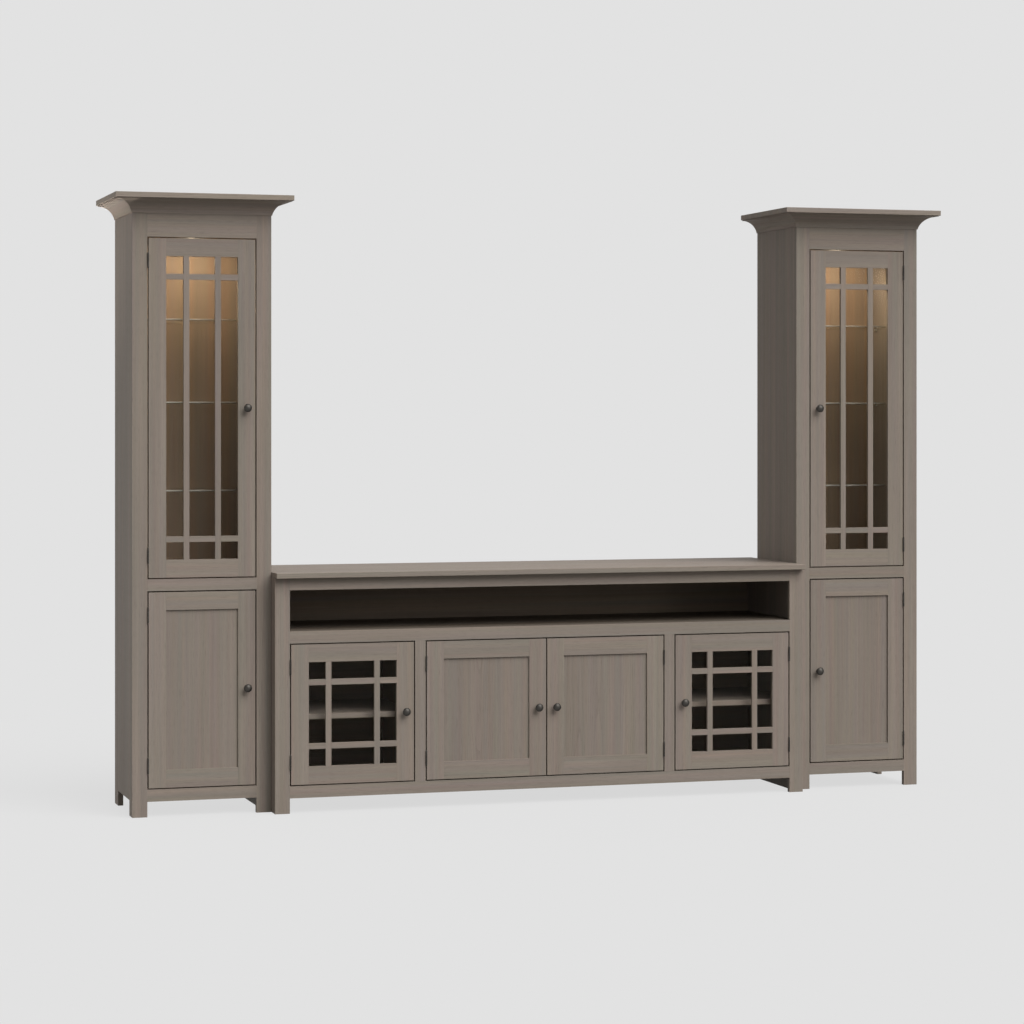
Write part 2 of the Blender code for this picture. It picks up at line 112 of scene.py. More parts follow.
class OakJoinery(bpy.types.PropertyGroup):
    clearance: length("Clearance", "Gap left between pieces that seat", 0.0003)
    frame_easing: length("Frame easing", "Eased edge of stiles, rails and muntins", 0.0004)
    board_easing: length("Board easing", "Eased edge of panels and shelves", 0.0008)
    top_easing: length("Top easing", "Rounded edge of the tops", 0.0016)
    stave_width: length("Stave width", "Usual width of the staves in a glued board", 0.105)
    door_gap: length("Door gap", "Gap round each inset door, as it shows", 0.0042)
    packed_gap: length("Packed gap", "Gap round each door in the packed model", 0.003)
    dado_depth: length("Dado depth", "Depth of the dadoes for the decks", 0.006)
    tongue_shoulder: length("Tongue shoulder", "Step above a deck's tongue", 0.004)
    back_rabbet: length("Back rabbet", "Width of the rabbet for the back panel", 0.009)
    foot_height: length("Foot height", "Height of the gap between the feet", 0.0525)
    front_foot: length("Front foot", "Depth of a side panel's front foot", 0.062)
    back_foot: length("Back foot", "Depth of a side panel's back foot", 0.072)
    media_height: length("Media bay", "Height of the open bay", 0.1425)
    crown_overhang: length("Crown overhang", "Reach of the crown past the case", 0.067)
    cove_height: length("Cove height", "Height of the cove moulding", 0.048)
    cove_reveal: length("Cove reveal", "Step from the crown's edge to the cove", 0.006)
    cove_lip: length("Cove lip", "Thickness of the cove at its foot", 0.003)
    cove_fillet: length("Cove fillet", "Flat at the foot of the cove", 0.002)
    cove_top_fillet: length("Cove top fillet", "Flat at the top of the cove", 0.0025)
    cove_radius: length("Cove radius", "Radius of the hollow", 0.0575)


class DoorSizes(bpy.types.PropertyGroup):
    muntin_width: length("Muntin width", "Width of the bars between the lights", 0.020)
    muntin_thickness: length("Muntin thickness", "Thickness of the bars", 0.012)
    corner_light: length("Corner light", "Side of the small corner lights", 0.060)
    glazing_rabbet: length("Glazing rabbet", "Width of the step that holds the glass", 0.008)
    bead_depth: length("Bead depth", "Depth of the beads behind the glass", 0.0045)
    panel_groove: length("Panel groove", "Depth of the groove that holds the panel", 0.009)
    barrel_radius: length("Barrel radius", "Radius of a hinge's barrel", 0.0026)
    barrel_length: length("Barrel length", "Length of a hinge's barrel", 0.050)
    barrel_tip: length("Barrel tip", "Height of the tip at each end of a barrel", 0.003)
    hinge_inset: length("Hinge inset", "From a door's end to its hinge", 0.052)
    leaf_thickness: length("Leaf thickness", "Thickness of a hinge's leaf", 0.0015)
    leaf_depth: length("Leaf depth", "Reach of a leaf behind the face", 0.014)


class Fittings(bpy.types.PropertyGroup):
    knob_radius: length("Knob radius", "Radius of a knob's head", 0.0143)
    knob_neck: length("Knob neck", "Radius of a knob's neck", 0.0055)
    knob_foot: length("Knob foot", "Radius of a knob's foot", 0.008)
    knob_reach: length("Knob reach", "How far a knob stands out", 0.027)
    pin_radius: length("Pin radius", "Radius of a shelf pin", 0.0025)
    pin_reach: length("Pin reach", "How far a shelf pin stands out", 0.008)
    pin_inset: share("Pin inset", "Place of a pin, as a share of the shelf's depth", 0.18)
    lamp_radius: length("Lamp radius", "Radius of a tower's lamp", 0.032)
    lens_radius: length("Lens radius", "Radius of the lamp's lens", 0.024)


class OakColours(bpy.types.PropertyGroup):
    pale: colour("Pale oak", "Latewood of the faces", (0.299, 0.248, 0.208))
    deep: colour("Deep oak", "Earlywood of the faces", (0.198, 0.166, 0.139))
    panel: share("Panel shade", "Shade of the flat panels beside their frames", 0.92)
    # Crown shade makes the crowns' oak lighter than the cases' oak: painted light, for extra light
    # falling on the crowns from above
    crown: amount("Crown shade", "Shade of the crowns beside the cases under them", 1.12)
    inside_pale: colour("Inside, pale", "Latewood of the inside", (0.314, 0.222, 0.155))
    inside_deep: colour("Inside, deep", "Earlywood of the inside", (0.206, 0.143, 0.099))
    console_tint: channels("Console tint", "Cooler inside of the console", (0.90, 1.0, 1.08))
    # Media shelf shade darkens the media shelf's oak: painted shade, for the shade in the open bay
    # under the console top, not a deeper stain
    media_painted_shade: share("Media shelf shade", "Shade of the deep-stained media shelf", 0.55)
    cast: colour("Grey cast", "Cooler stain that drifts through the grain", (0.204, 0.183, 0.158))
    pore: colour("Pores", "Stain that lies in the pores", (0.085, 0.068, 0.054))
    worn: colour("Worn edge", "Oak where the stain is rubbed thin", (0.36, 0.30, 0.24))
    ring_width: length("Ring width", "Usual width of a year's growth", 0.0042)


class FittingColours(bpy.types.PropertyGroup):
    pewter: colour("Pewter", "Dark metal of knobs and hinges", (0.046, 0.042, 0.037))
    pewter_worn: colour("Rubbed pewter", "Pewter where hands have rubbed it", (0.090, 0.084, 0.076))
    nickel: colour("Nickel", "Lamp rings and shelf pins", (0.42, 0.40, 0.37))
    nickel_worn: colour("Rubbed nickel", "Nickel where it is bright", (0.62, 0.60, 0.56))
    glass: colour("Glass", "What shows through each face of a pane", (0.980, 0.978, 0.970))
    shelf_glass: colour("Shelf glass", "What shows through a shelf's face", (0.972, 0.980, 0.974))
    # Colour of the shelves' polished edges, which carry a painted highlight and painted shade
    glass_edge: colour("Glass edge", "Polished edges of the glass shelves", (0.84, 0.80, 0.72))
    lamp: colour("Lamp light", "Warm light of the towers' lamps", (1.0, 0.84, 0.60))


class StudioSettings(bpy.types.PropertyGroup):
    backdrop: colour("Backdrop", "Plain backdrop round the object", (0.7605, 0.7605, 0.7605))
    floor: colour("Floor", "Matt floor, as the object sees it", (0.20, 0.20, 0.195))
    shadow: share("Shadow", "How much of the object's shadow the floor shows", 0.12)
    sky: amount("Sky", "Light from all round", 0.41)
    key: amount("Key", "Broad light from the upper right", 3.2)
    key_height: angle("Key height", "How high the key light stands", 46)
    key_turn: angle("Key turn", "How far the key light stands to the right", 30)
    key_spread: angle("Key spread", "Breadth of the key light, which softens its shadows", 50)
    low: amount("Low light", "Faint low light from the front right", 0.113)
    low_height: angle("Low light height", "How high the low light stands", 7)
    low_spread: angle("Low light spread", "Breadth of the low light", 14)
    fill: power("Fill lamp", "Soft lamp at the left", 12)
    uplight: power("Crown lamp", "Warm lamp behind the left tower, for its moulding", 1.1)
    glow: power("Lamp glow", "Light that a tower's lamp throws down and sideways", 4.2)
    beam: power("Lamp beam", "Light that a tower's lamp throws mostly downwards", 0.20)
    beam_spread: angle("Beam spread", "Breadth of that downward light", 110)
    glow_spread: angle("Glow spread", "Breadth of the glow", 158)
    glow_lean: angle("Glow lean", "How far the glow leans towards the back", 25)
    glow_lead: length("Glow lead", "How far in front of the lamp its glow leaves", 0.07)
    spill: power("Lamp spill", "Light that a tower's lamp throws on the deck above it", 0.4)
    spill_drop: length("Spill drop", "From the lamp down to the source of its spill", 0.05)


GROUPS = {
    "oak_joinery": OakJoinery,
    "oak_doors": DoorSizes,
    "oak_fittings": Fittings,
    "oak_colours": OakColours,
    "oak_fitting_colours": FittingColours,
    "oak_studio": StudioSettings,
}


# ---- Materials


class Socket:
    """A socket that Python's operators join to others through Math nodes."""

    def __init__(self, recipe, link):
        self.recipe, self.link = recipe, link

    def maths(self, operation, *values, clamp=False):
        settings = {"operation": operation, "use_clamp": clamp}
        return self.recipe.add("ShaderNodeMath", settings, dict(enumerate(values)))

    def __add__(self, other):
        return self.maths("ADD", self, other)

    __radd__ = __add__

    def __sub__(self, other):
        return self.maths("SUBTRACT", self, other)

    def __rsub__(self, other):
        return self.maths("SUBTRACT", other, self)

    def __mul__(self, other):
        return self.maths("MULTIPLY", self, other)

    __rmul__ = __mul__

    def __truediv__(self, other):
        return self.maths("DIVIDE", self, other)

    def __rtruediv__(self, other):
        return self.maths("DIVIDE", other, self)

    def __pow__(self, other):
        return self.maths("POWER", self, other)

    def __rpow__(self, other):
        return self.maths("POWER", other, self)

    def clamped(self):
        """This value, held between 0 and 1."""
        return self.maths("ADD", self, 0.0, clamp=True)

    def swing(self, reach):
        """A value between 0 and 1, turned into one that swings evenly about 0."""
        return (self - 0.5) * reach

    def above(self, start, gain):
        """0 up to start, and from there a slope that stops at 1."""
        return ((self - start) * gain).clamped()

    def fraction(self):
        return self.maths("FRACT", self)


# Numbers of the sockets that a Mix node uses for colours
MIX_SHARE, MIX_FIRST, MIX_SECOND, MIX_RESULT = 0, 6, 7, 2


class Recipe:
    """The nodes of one material, or of the world."""

    def __init__(self, owner):
        owner.use_nodes = True
        self.owner, self.tree = owner, owner.node_tree
        self.tree.nodes.clear()

    def add(self, kind, settings=None, sockets=None, output=0):
        """A node of this type, with its settings first and then its sockets' values or links."""
        node = self.tree.nodes.new(kind)
        for name, value in (settings or {}).items():
            setattr(node, name, value)
        for key, value in (sockets or {}).items():
            if isinstance(value, Socket):
                self.tree.links.new(value.link, node.inputs[key])
            else:
                node.inputs[key].default_value = value
        return Socket(self, node.outputs[output])

    def attribute(self, name, output):
        return self.add("ShaderNodeAttribute", {"attribute_name": name}, output=output)

    def place(self):
        """Where a point lies on its own piece."""
        return self.add("ShaderNodeTexCoord", output="Object")

    def split(self, vector):
        parts = self.add("ShaderNodeSeparateXYZ", None, {"Vector": vector})
        return [Socket(self, parts.link.node.outputs[axis]) for axis in (X, Y, Z)]

    def join(self, *parts):
        return self.add("ShaderNodeCombineXYZ", None, dict(enumerate(parts)))

    def vectors(self, operation, *vectors):
        return self.add("ShaderNodeVectorMath", {"operation": operation}, dict(enumerate(vectors)))

    def shifted(self, vector, other):
        return self.vectors("ADD", vector, other)

    def scaled(self, vector, scales):
        return self.vectors("MULTIPLY", vector, scales)

    def noise(self, place, waves, detail=1.0):
        """Noise between 0 and 1, with this many waves to the metre, or a number for each axis."""
        waves = waves if isinstance(waves, tuple) else (waves,) * 3
        sockets = {"Vector": self.scaled(place, waves), "Scale": 1.0, "Detail": detail}
        return self.add("ShaderNodeTexNoise", None, sockets)

    def mix(self, part, first, second):
        """A colour between two colours."""
        first, second = [c if isinstance(c, Socket) else (*c, 1.0) for c in (first, second)]
        return self.add(
            "ShaderNodeMix",
            {"data_type": "RGBA", "clamp_factor": True},
            {MIX_SHARE: part, MIX_FIRST: first, MIX_SECOND: second},
            output=MIX_RESULT,
        )

    def blend(self, part, first, second):
        """A shader between two shaders."""
        return self.add("ShaderNodeMixShader", None, {0: part, 1: first, 2: second})

    def plain(self, kind, tone, **sockets):
        """A shader of one colour all over."""
        return self.add("ShaderNode" + kind, None, {"Color": (*tone, 1.0), **sockets})

    def bump(self, height, strength, distance):
        sockets = {"Height": height, "Strength": strength, "Distance": distance}
        return self.add("ShaderNodeBump", None, sockets)

    def principled(self, **sockets):
        names = {name.replace("_", " "): value for name, value in sockets.items()}
        return self.add("ShaderNodeBsdfPrincipled", None, names)

    def looked_at(self):
        """1 where the camera, a mirror or glass looks, and 0 for the light that falls on things."""
        rays = ("Is Camera Ray", "Is Glossy Ray", "Is Transmission Ray")
        path = self.add("ShaderNodeLightPath").link.node
        camera, glossy, through = [Socket(self, path.outputs[ray]) for ray in rays]
        return (camera + glossy + through).clamped()

    def finish(self, shader):
        kind = "World" if isinstance(self.owner, bpy.types.World) else "Material"
        node = self.tree.nodes.new("ShaderNodeOutput" + kind)
        self.tree.links.new(shader.link, node.inputs["Surface"])
        return self.owner


# What varies in oak: waves to the metre along, across and through the grain, and their detail
OAK_NOISE = {
    "sway": ((1.4, 7.0, 7.0), 2.0),
    "lean": ((2.3, 4.0, 4.0), 1.0),
    "uneven": ((0.9, 40.0, 40.0), 1.0),
    "pores": ((30.0, 1300.0, 1300.0), 1.0),
    "fibre": ((4.0, 320.0, 320.0), 3.0),
    "streak": ((0.9, 70.0, 70.0), 3.0),
    "drift": ((0.7, 17.0, 17.0), 1.0),
    "cloud": ((2.0, 9.0, 9.0), 2.0),
    "cast": ((0.5, 24.0, 24.0), 1.0),
    "rosy": ((0.8, 60.0, 60.0), 3.0),
    "leafy": ((1.1, 38.0, 38.0), 2.0),
}
# The heart of the tree wanders from side to side, leans and slopes; its rings are uneven
HEART_SWAY, HEART_LEAN, HEART_SLOPE, RING_UNEVEN = 0.030, 0.024, 0.030, 1.6
EARLYWOOD_FALL = 2.6  # how fast each year's open earlywood gives way to latewood
MIDDLE_TONE = 0.56
TONE_SWINGS = {"streak": 0.9, "drift": 0.5, "fibre": 0.7, "cloud": 0.4}
EARLYWOOD_SHADE, BOARD_SWING = 0.20, 0.14
# Hues that drift through the stain
HUES = {
    "rosy": ((1.065, 0.985, 0.935), (0.935, 1.015, 1.065)),
    "leafy": ((1.03, 0.955, 1.03), (0.97, 1.045, 0.97)),
}
BOARD_STEPS = (61.0, 37.0, 23.0)  # how far apart in the noise the boards of one log lie
SHEET_SPREAD, SHEET_DEPTH = 0.3, 0.09  # where the heart lies beside and behind a packed sheet
SATIN = 0.09  # specular level of the wiped stain


def oak(name, pale, deep, colours, sheet=None):
    """Open-grained stained oak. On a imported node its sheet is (along, across, through, number)."""
    recipe = Recipe(bpy.data.materials.new(name))
    if sheet is None:
        place = recipe.attribute("grain", "Vector")
        board, rubbed = [recipe.attribute(layer, "Fac") for layer in ("board", "rubbed")]
        spot = recipe.shifted(place, recipe.join(*(board * step for step in BOARD_STEPS)))
    else:
        along, across, through, number = sheet
        parts = recipe.split(recipe.place())
        aside = parts[across] + number * SHEET_SPREAD
        place = recipe.join(parts[along], aside, parts[through] + SHEET_DEPTH)
        spot = recipe.shifted(place, tuple(number * step for step in BOARD_STEPS))
    along, across, through = recipe.split(place)
    noise = {what: recipe.noise(spot, *waves) for what, waves in OAK_NOISE.items()}

    # Years of growth round a leaning heart, which show as straight lines or as cathedrals
    side = across + noise["sway"].swing(HEART_SWAY)
    depth = through + along * HEART_SLOPE + noise["lean"].swing(HEART_LEAN)
    years = (side * side + depth * depth) ** 0.5 / colours.ring_width
    years = years + noise["uneven"].swing(RING_UNEVEN)
    early = (1.0 - years.fraction()) ** EARLYWOOD_FALL

    # Pores in the earlywood, then fibres and broader streaks of stain
    pores = noise["pores"].above(0.56, 9.0) * (early * 0.75 + 0.25)
    tone = MIDDLE_TONE
    for what, reach in TONE_SWINGS.items():
        tone = tone + noise[what].swing(reach)
    tone = tone - early * EARLYWOOD_SHADE
    if sheet is None:
        tone = tone + board.swing(BOARD_SWING)
    surface = recipe.mix(tone.clamped(), deep, pale)
    surface = recipe.mix(noise["cast"].above(0.40, 2.6) * 0.55, surface, colours.cast)
    for what, ends in HUES.items():
        surface = recipe.scaled(surface, recipe.mix(noise[what], *ends))
    surface = recipe.mix(pores * 0.45, surface, colours.pore)
    if sheet is None:
        surface = recipe.mix(rubbed * (0.02 + noise["cloud"] * 0.10), surface, colours.worn)

    height = noise["fibre"] * 0.35 - pores - early * 0.30
    shader = recipe.principled(
        Base_Color=surface,
        Roughness=0.56 + pores * 0.25 + noise["fibre"].swing(0.12),
        Normal=recipe.bump(height, 0.45, 0.0003),
        Specular_IOR_Level=SATIN,
    )
    return recipe.finish(shader)


def metal(name, dark, light, roughness, waves):
    """Cast or turned metal with an uneven, softly rubbed patina."""
    recipe = Recipe(bpy.data.materials.new(name))
    place = recipe.place()
    patina = recipe.noise(place, waves, 3.0)
    pits = recipe.noise(place, waves * 9, 2.0)
    shader = recipe.principled(
        Base_Color=recipe.mix(patina.above(0.42, 3.0) * 0.6, dark, light),
        Metallic=0.85,
        Roughness=roughness + patina.swing(0.25),
        Normal=recipe.bump(pits, 0.18, 0.0002),
    )
    return recipe.finish(shader)


HEAD_ON, EDGE_ON, STEEPNESS = 0.003, 0.9, 5.0  # how much a pane mirrors, and how that grows


def clear_glass(name, clearness, smudge):
    """Thin glass: mostly see-through, with the mirror of its faces and the faintest haze."""
    recipe = Recipe(bpy.data.materials.new(name))
    haze = recipe.noise(recipe.place(), 5.0, 3.0)
    slant = recipe.add("ShaderNodeLayerWeight", None, {"Blend": 0.5}, "Facing")
    mirrored = HEAD_ON + slant ** STEEPNESS * EDGE_ON + haze * smudge
    mirror = recipe.principled(
        Base_Color=recipe.mix(haze, (0.90, 0.85, 0.75), (0.84, 0.79, 0.70)),
        Metallic=1.0,
        Roughness=0.03 + haze * 0.05,
    )
    clear = recipe.plain("BsdfTransparent", clearness)
    return recipe.finish(recipe.blend(mirrored.clamped(), clear, mirror))


def glass_edge(name, pale):
    """The polished edge of a glass shelf, with a painted highlight that grows towards the left and
    painted shade along its foot.
    """
    recipe = Recipe(bpy.data.materials.new(name))
    place = recipe.place()
    ripple = recipe.noise(place, (30.0, 30.0, 300.0), 2.0)
    along, _, up = recipe.split(place)
    body = recipe.principled(
        # Painted shade along the lower arris of the edge
        Base_Color=recipe.mix((0.3 - up * 260.0).clamped(), pale, shaded(pale, 0.15)),
        Roughness=0.12 + ripple * 0.10,
    )
    clear = recipe.plain("BsdfTransparent", (0.84, 0.86, 0.82))
    # Painted highlight: the edge shows more strongly towards the left
    painted_highlight = 0.14 + ripple * 0.25 - along * 1.4
    return recipe.finish(recipe.blend(painted_highlight.clamped(), clear, body))


def lamp_lens(name, light):
    """A frosted lens, lit from behind."""
    recipe = Recipe(bpy.data.materials.new(name))
    frost = recipe.noise(recipe.place(), 700.0, 2.0)
    shader = recipe.principled(
        Base_Color=recipe.mix(frost, (0.85, 0.82, 0.76), (0.95, 0.92, 0.86)),
        Roughness=0.45 + frost * 0.15,
        Emission_Color=recipe.mix(frost, shaded(light, 0.8), light),
        Emission_Strength=5.0,
    )
    return recipe.finish(shader)


def shaded(tone, shade):
    return tuple(part * shade for part in tone)


finishes = {}


def make_finishes(scene):
    wood, metals = scene.oak_colours, scene.oak_fitting_colours
    finishes.update(
        face=oak("stained_oak", tuple(wood.pale), tuple(wood.deep), wood),
        panel=oak("panel_oak", shaded(wood.pale, wood.panel), shaded(wood.deep, wood.panel), wood),
        # The crowns' oak is a lighter copy of the face oak: painted light
        crown=oak("crown_oak", shaded(wood.pale, wood.crown), shaded(wood.deep, wood.crown), wood),
        inside=oak("inside_oak", tuple(wood.inside_pale), tuple(wood.inside_deep), wood),
        pewter=metal("dark_pewter", tuple(metals.pewter), tuple(metals.pewter_worn), 0.44, 60.0),
        nickel=metal("satin_nickel", tuple(metals.nickel), tuple(metals.nickel_worn), 0.28, 90.0),
        glass=clear_glass("thin_glass", tuple(metals.glass), 0.004),
        shelf=clear_glass("shelf_glass", tuple(metals.shelf_glass), 0.01),
        # The shelf edges carry a painted highlight and painted shade
        shelf_edge=glass_edge("shelf_glass_edge", tuple(metals.glass_edge)),
        lens=lamp_lens("lamp_lens", tuple(metals.lamp)),
    )


# ---- Solid pieces, gathered into one mesh with grain that follows each board


class Figure:
    """How the grain runs in one rift-sawn board, or in the mixed staves that it is glued from."""

    STAVE_WIDTHS = (0.75, 1.25)
    # Where the heart of the tree lies, beside a stave's middle and behind its face
    PLAIN_ASIDE, PLAIN_DEPTH = (-0.3, 0.3), (0.028, 0.055)
    RIFT_ASIDE, RIFT_DEPTH = (0.10, 0.22), (0.02, 0.12)

    def __init__(self, dice, low, high, along, stave_width=0.0):
        spans = [high[axis] - low[axis] for axis in (X, Y, Z)]
        across = max((axis for axis in (X, Y, Z) if axis != along), key=lambda axis: spans[axis])
        self.axes = (along, across, X + Y + Z - along - across)
        self.middle = [(low[axis] + high[axis]) / 2 for axis in (X, Y, Z)]
        count = max(1, round(spans[across] / stave_width)) if stave_width else 1
        weights = [dice.uniform(*self.STAVE_WIDTHS) for _ in range(count)]
        edges, reached = [low[across]], 0.0
        for weight in weights:
            reached += weight
            edges.append(low[across] + spans[across] * reached / sum(weights))
        self.seams = edges[1:-1]
        self.staves = []
        for left, right in zip(edges, edges[1:]):
            if stave_width and dice.random() < 0.5:
                aside = dice.uniform(*self.PLAIN_ASIDE) * (right - left)
                deep = dice.uniform(*self.PLAIN_DEPTH)
            else:
                aside = dice.choice((-1, 1)) * dice.uniform(*self.RIFT_ASIDE)
                deep = dice.uniform(*self.RIFT_DEPTH)
            heart = (left + right) / 2 - aside
            self.staves.append((heart, deep, dice.choice((-1, 1)), dice.random()))

    def stave(self, centre):
        return self.staves[sum(centre[self.axes[1]] > seam for seam in self.seams)]

    def at(self, stave, point):
        """A point's place along, across and through the grain, from the heart of the tree."""
        heart, deep, way, _ = stave
        along, across, through = self.axes
        return (
            (point[along] - self.middle[along]) * way,
            point[across] - heart,
            point[through] - self.middle[through] + deep,
        )


EASED_ANGLE = 0.3  # edges that turn more than this are eased
SHARP_ANGLE = math.radians(32)  # edges of turned work that turn more than this stay crisp
LEVEL = 0.99  # upright part of the normal of a level face
TOUCHING = 1e-6
WIDE_STAVES = 1.2  # how much wider the staves of a door's panel are


class Work:
    """Boards, mouldings and turned parts gathered into one mesh."""

    def __init__(self, name):
        self.name = name
        self.dice = random.Random(name)
        self.points, self.faces, self.grain = [], [], []
        self.board_numbers, self.rubbed, self.smooth, self.finish_numbers = [], [], [], []
        self.sharp = set()

    def absorb(self, solid, figure=None, smooth=False, finish=lambda face: 0):
        """Takes in a solid's faces, less those with no area. finish gives a face its number."""
        bmesh.ops.remove_doubles(solid, verts=solid.verts, dist=TOUCHING)
        solid.normal_update()
        solid.verts.index_update()
        layer = solid.faces.layers.int.get("rubbed")
        start = len(self.points)
        self.points += [vertex.co.copy() for vertex in solid.verts]
        number = self.dice.random()
        for face in solid.faces:
            self.faces.append([start + vertex.index for vertex in face.verts])
            stave = figure.stave(face.calc_center_median()) if figure else None
            for vertex in face.verts:
                self.grain.append(figure.at(stave, vertex.co) if figure else tuple(vertex.co))
            self.board_numbers.append(stave[3] if figure else number)
            self.rubbed.append(float(face[layer]) if layer else 0.0)
            self.smooth.append(smooth)
            self.finish_numbers.append(finish(face))
        if smooth:
            for edge in solid.edges:
                if edge.is_manifold and edge.calc_face_angle() > SHARP_ANGLE:
                    self.sharp.add(frozenset(start + vertex.index for vertex in edge.verts))
        solid.free()

    def prism(self, outline, axis, low, high, along, easing, staves=0.0, carve=(), rings=2):
        """An outline in the plane across axis, drawn out from low to high, with its edges eased."""
        others = [other for other in (X, Y, Z) if other != axis]
        solid = bmesh.new()
        bottom = []
        for first, second in outline:
            place = [0.0, 0.0, 0.0]
            place[axis], place[others[0]], place[others[1]] = low, first, second
            bottom.append(solid.verts.new(place))
        face = solid.faces.new(bottom)
        drawn = bmesh.ops.extrude_face_region(solid, geom=[face])["geom"]
        top = [item for item in drawn if isinstance(item, bmesh.types.BMVert)]
        reach = Vector([high - low if other == axis else 0 for other in (X, Y, Z)])
        bmesh.ops.translate(solid, vec=reach, verts=top)
        bmesh.ops.recalc_face_normals(solid, faces=solid.faces)
        corners = limits(solid)
        if carve:
            solid = carved(solid, carve)
        if easing:
            ease(solid, easing, rings)
        figure = Figure(self.dice, *corners, along, staves)
        part_staves(solid, figure)
        self.absorb(solid, figure)

    def board(self, x, y, z, along, easing, staves=0.0, rings=2):
        """A straight board over three spans (low, high), with its grain along one axis."""
        outline = [(x[0], y[0]), (x[1], y[0]), (x[1], y[1]), (x[0], y[1])]
        self.prism(outline, Z, *z, along, easing, staves, rings=rings)

    def turned(self, profile, centre, axis=(0, 0, 1), sides=32, finish=0):
        """A profile of (radius, height) points, turned round an axis through centre."""
        solid = bmesh.new()
        turns = [math.tau * step / sides for step in range(sides)]
        rows = []
        for radius, height in profile:
            row = [(radius * math.cos(turn), radius * math.sin(turn), height) for turn in turns]
            rows.append([solid.verts.new(place) for place in (row if radius else row[:1])])
        for above, below in zip(rows, rows[1:]):
            for step in range(sides):
                after = (step + 1) % sides
                ring = [above[step % len(above)], above[after % len(above)],
                        below[after % len(below)], below[step % len(below)]]
                solid.faces.new(list(dict.fromkeys(ring)))
        for row in (rows[0], rows[-1]):
            if len(row) > 1:
                solid.faces.new(row)
        turn = Vector((0, 0, 1)).rotation_difference(Vector(axis)).to_matrix().to_4x4()
        solid.transform(Matrix.Translation(Vector(centre)) @ turn)
        bmesh.ops.recalc_face_normals(solid, faces=solid.faces)
        self.absorb(solid, smooth=True, finish=lambda face: finish)

    def moulding(self, profile, stations, height):
        """A moulding past stations (x, y, outward x, outward y), in lengths that meet in mitres."""
        for near, far in zip(stations, stations[1:]):
            solid = bmesh.new()
            rings = []
            for x, y, out_x, out_y in (near, far):
                rings.append([
                    solid.verts.new((x + out * out_x, y + out * out_y, height + up))
                    for out, up in profile
                ])
            for step in range(len(profile)):
                after = (step + 1) % len(profile)
                solid.faces.new((rings[0][step], rings[0][after], rings[1][after], rings[1][step]))
            solid.faces.new(reversed(rings[0]))
            solid.faces.new(rings[1])
            bmesh.ops.recalc_face_normals(solid, faces=solid.faces)
            along = X if abs(far[0] - near[0]) > abs(far[1] - near[1]) else Y
            self.absorb(solid, Figure(self.dice, *limits(solid), along), smooth=True)

    def place(self, body, slot, finish, *replaced):
        """The finished piece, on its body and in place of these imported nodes."""
        centre = sum((Vector(point) for point in self.points), Vector()) / len(self.points)
        mesh = bpy.data.meshes.new(self.name)
        mesh.from_pydata([Vector(point) - centre for point in self.points], [], self.faces)
        grain = mesh.attributes.new("grain", "FLOAT_VECTOR", "CORNER")
        grain.data.foreach_set("vector", [part for place in self.grain for part in place])
        for name, values in (("board", self.board_numbers), ("rubbed", self.rubbed)):
            mesh.attributes.new(name, "FLOAT", "FACE").data.foreach_set("value", values)
        mesh.polygons.foreach_set("use_smooth", self.smooth)
        mesh.polygons.foreach_set("material_index", self.finish_numbers)
        if self.sharp:
            marks = mesh.attributes.new("sharp_edge", "BOOLEAN", "EDGE")
            sharp = [frozenset(edge.vertices) in self.sharp for edge in mesh.edges]
            marks.data.foreach_set("value", sharp)
        for name in finish.split():
            mesh.materials.append(finishes[name])
        piece = bpy.data.objects.new(self.name, mesh)
        piece.location = centre
        bpy.context.scene.collection.objects.link(piece)
        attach(piece, body)
        if replaced:
            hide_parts(*replaced)


def limits(solid):
    """The two far corners of a solid's box."""
    places = [vertex.co for vertex in solid.verts]
    return [[end(place[axis] for place in places) for axis in (X, Y, Z)] for end in (min, max)]


def ease(solid, width, rings):
    """Rounds every corner edge a little, and marks the new faces as rubbed."""
    rubbed = solid.faces.layers.int.get("rubbed") or solid.faces.layers.int.new("rubbed")
    edges = [
        edge for edge in solid.edges if edge.is_manifold and edge.calc_face_angle() > EASED_ANGLE
    ]
    made = bmesh.ops.bevel(
        solid, geom=edges, offset=width, offset_type="OFFSET", segments=rings, profile=0.5,
        affect="EDGES", clamp_overlap=True,
    )
    for face in made["faces"]:
        face[rubbed] = 1


def part_staves(solid, figure):
    """Cuts the faces at the seams between staves, so that each stave has its own grain."""
    normal = Vector([axis == figure.axes[1] for axis in (X, Y, Z)])
    for seam in figure.seams:
        bmesh.ops.bisect_plane(
            solid, geom=solid.verts[:] + solid.edges[:] + solid.faces[:],
            plane_co=normal * seam, plane_no=normal, dist=TOUCHING,
        )


def carved(solid, boxes):
    """The solid less these boxes, each (low, high)."""
    tools = bmesh.new()
    for low, high in boxes:
        made = bmesh.ops.create_cube(tools, size=1.0)["verts"]
        bmesh.ops.scale(tools, vec=[b - a for a, b in zip(low, high)], verts=made)
        bmesh.ops.translate(tools, vec=[(a + b) / 2 for a, b in zip(low, high)], verts=made)
    holders = []
    for shape in (solid, tools):
        mesh = bpy.data.meshes.new("carving")
        shape.to_mesh(mesh)
        shape.free()
        holder = bpy.data.objects.new("carving", mesh)
        bpy.context.scene.collection.objects.link(holder)
        holders.append(holder)
    cut = holders[0].modifiers.new("cut", "BOOLEAN")
    cut.operation, cut.object, cut.solver = "DIFFERENCE", holders[1], "EXACT"
    cut.use_self = True
    result = bmesh.new()
    result.from_object(holders[0], bpy.context.evaluated_depsgraph_get())
    for holder in holders:
        mesh = holder.data
        bpy.data.objects.remove(holder)
        bpy.data.meshes.remove(mesh)
    return result


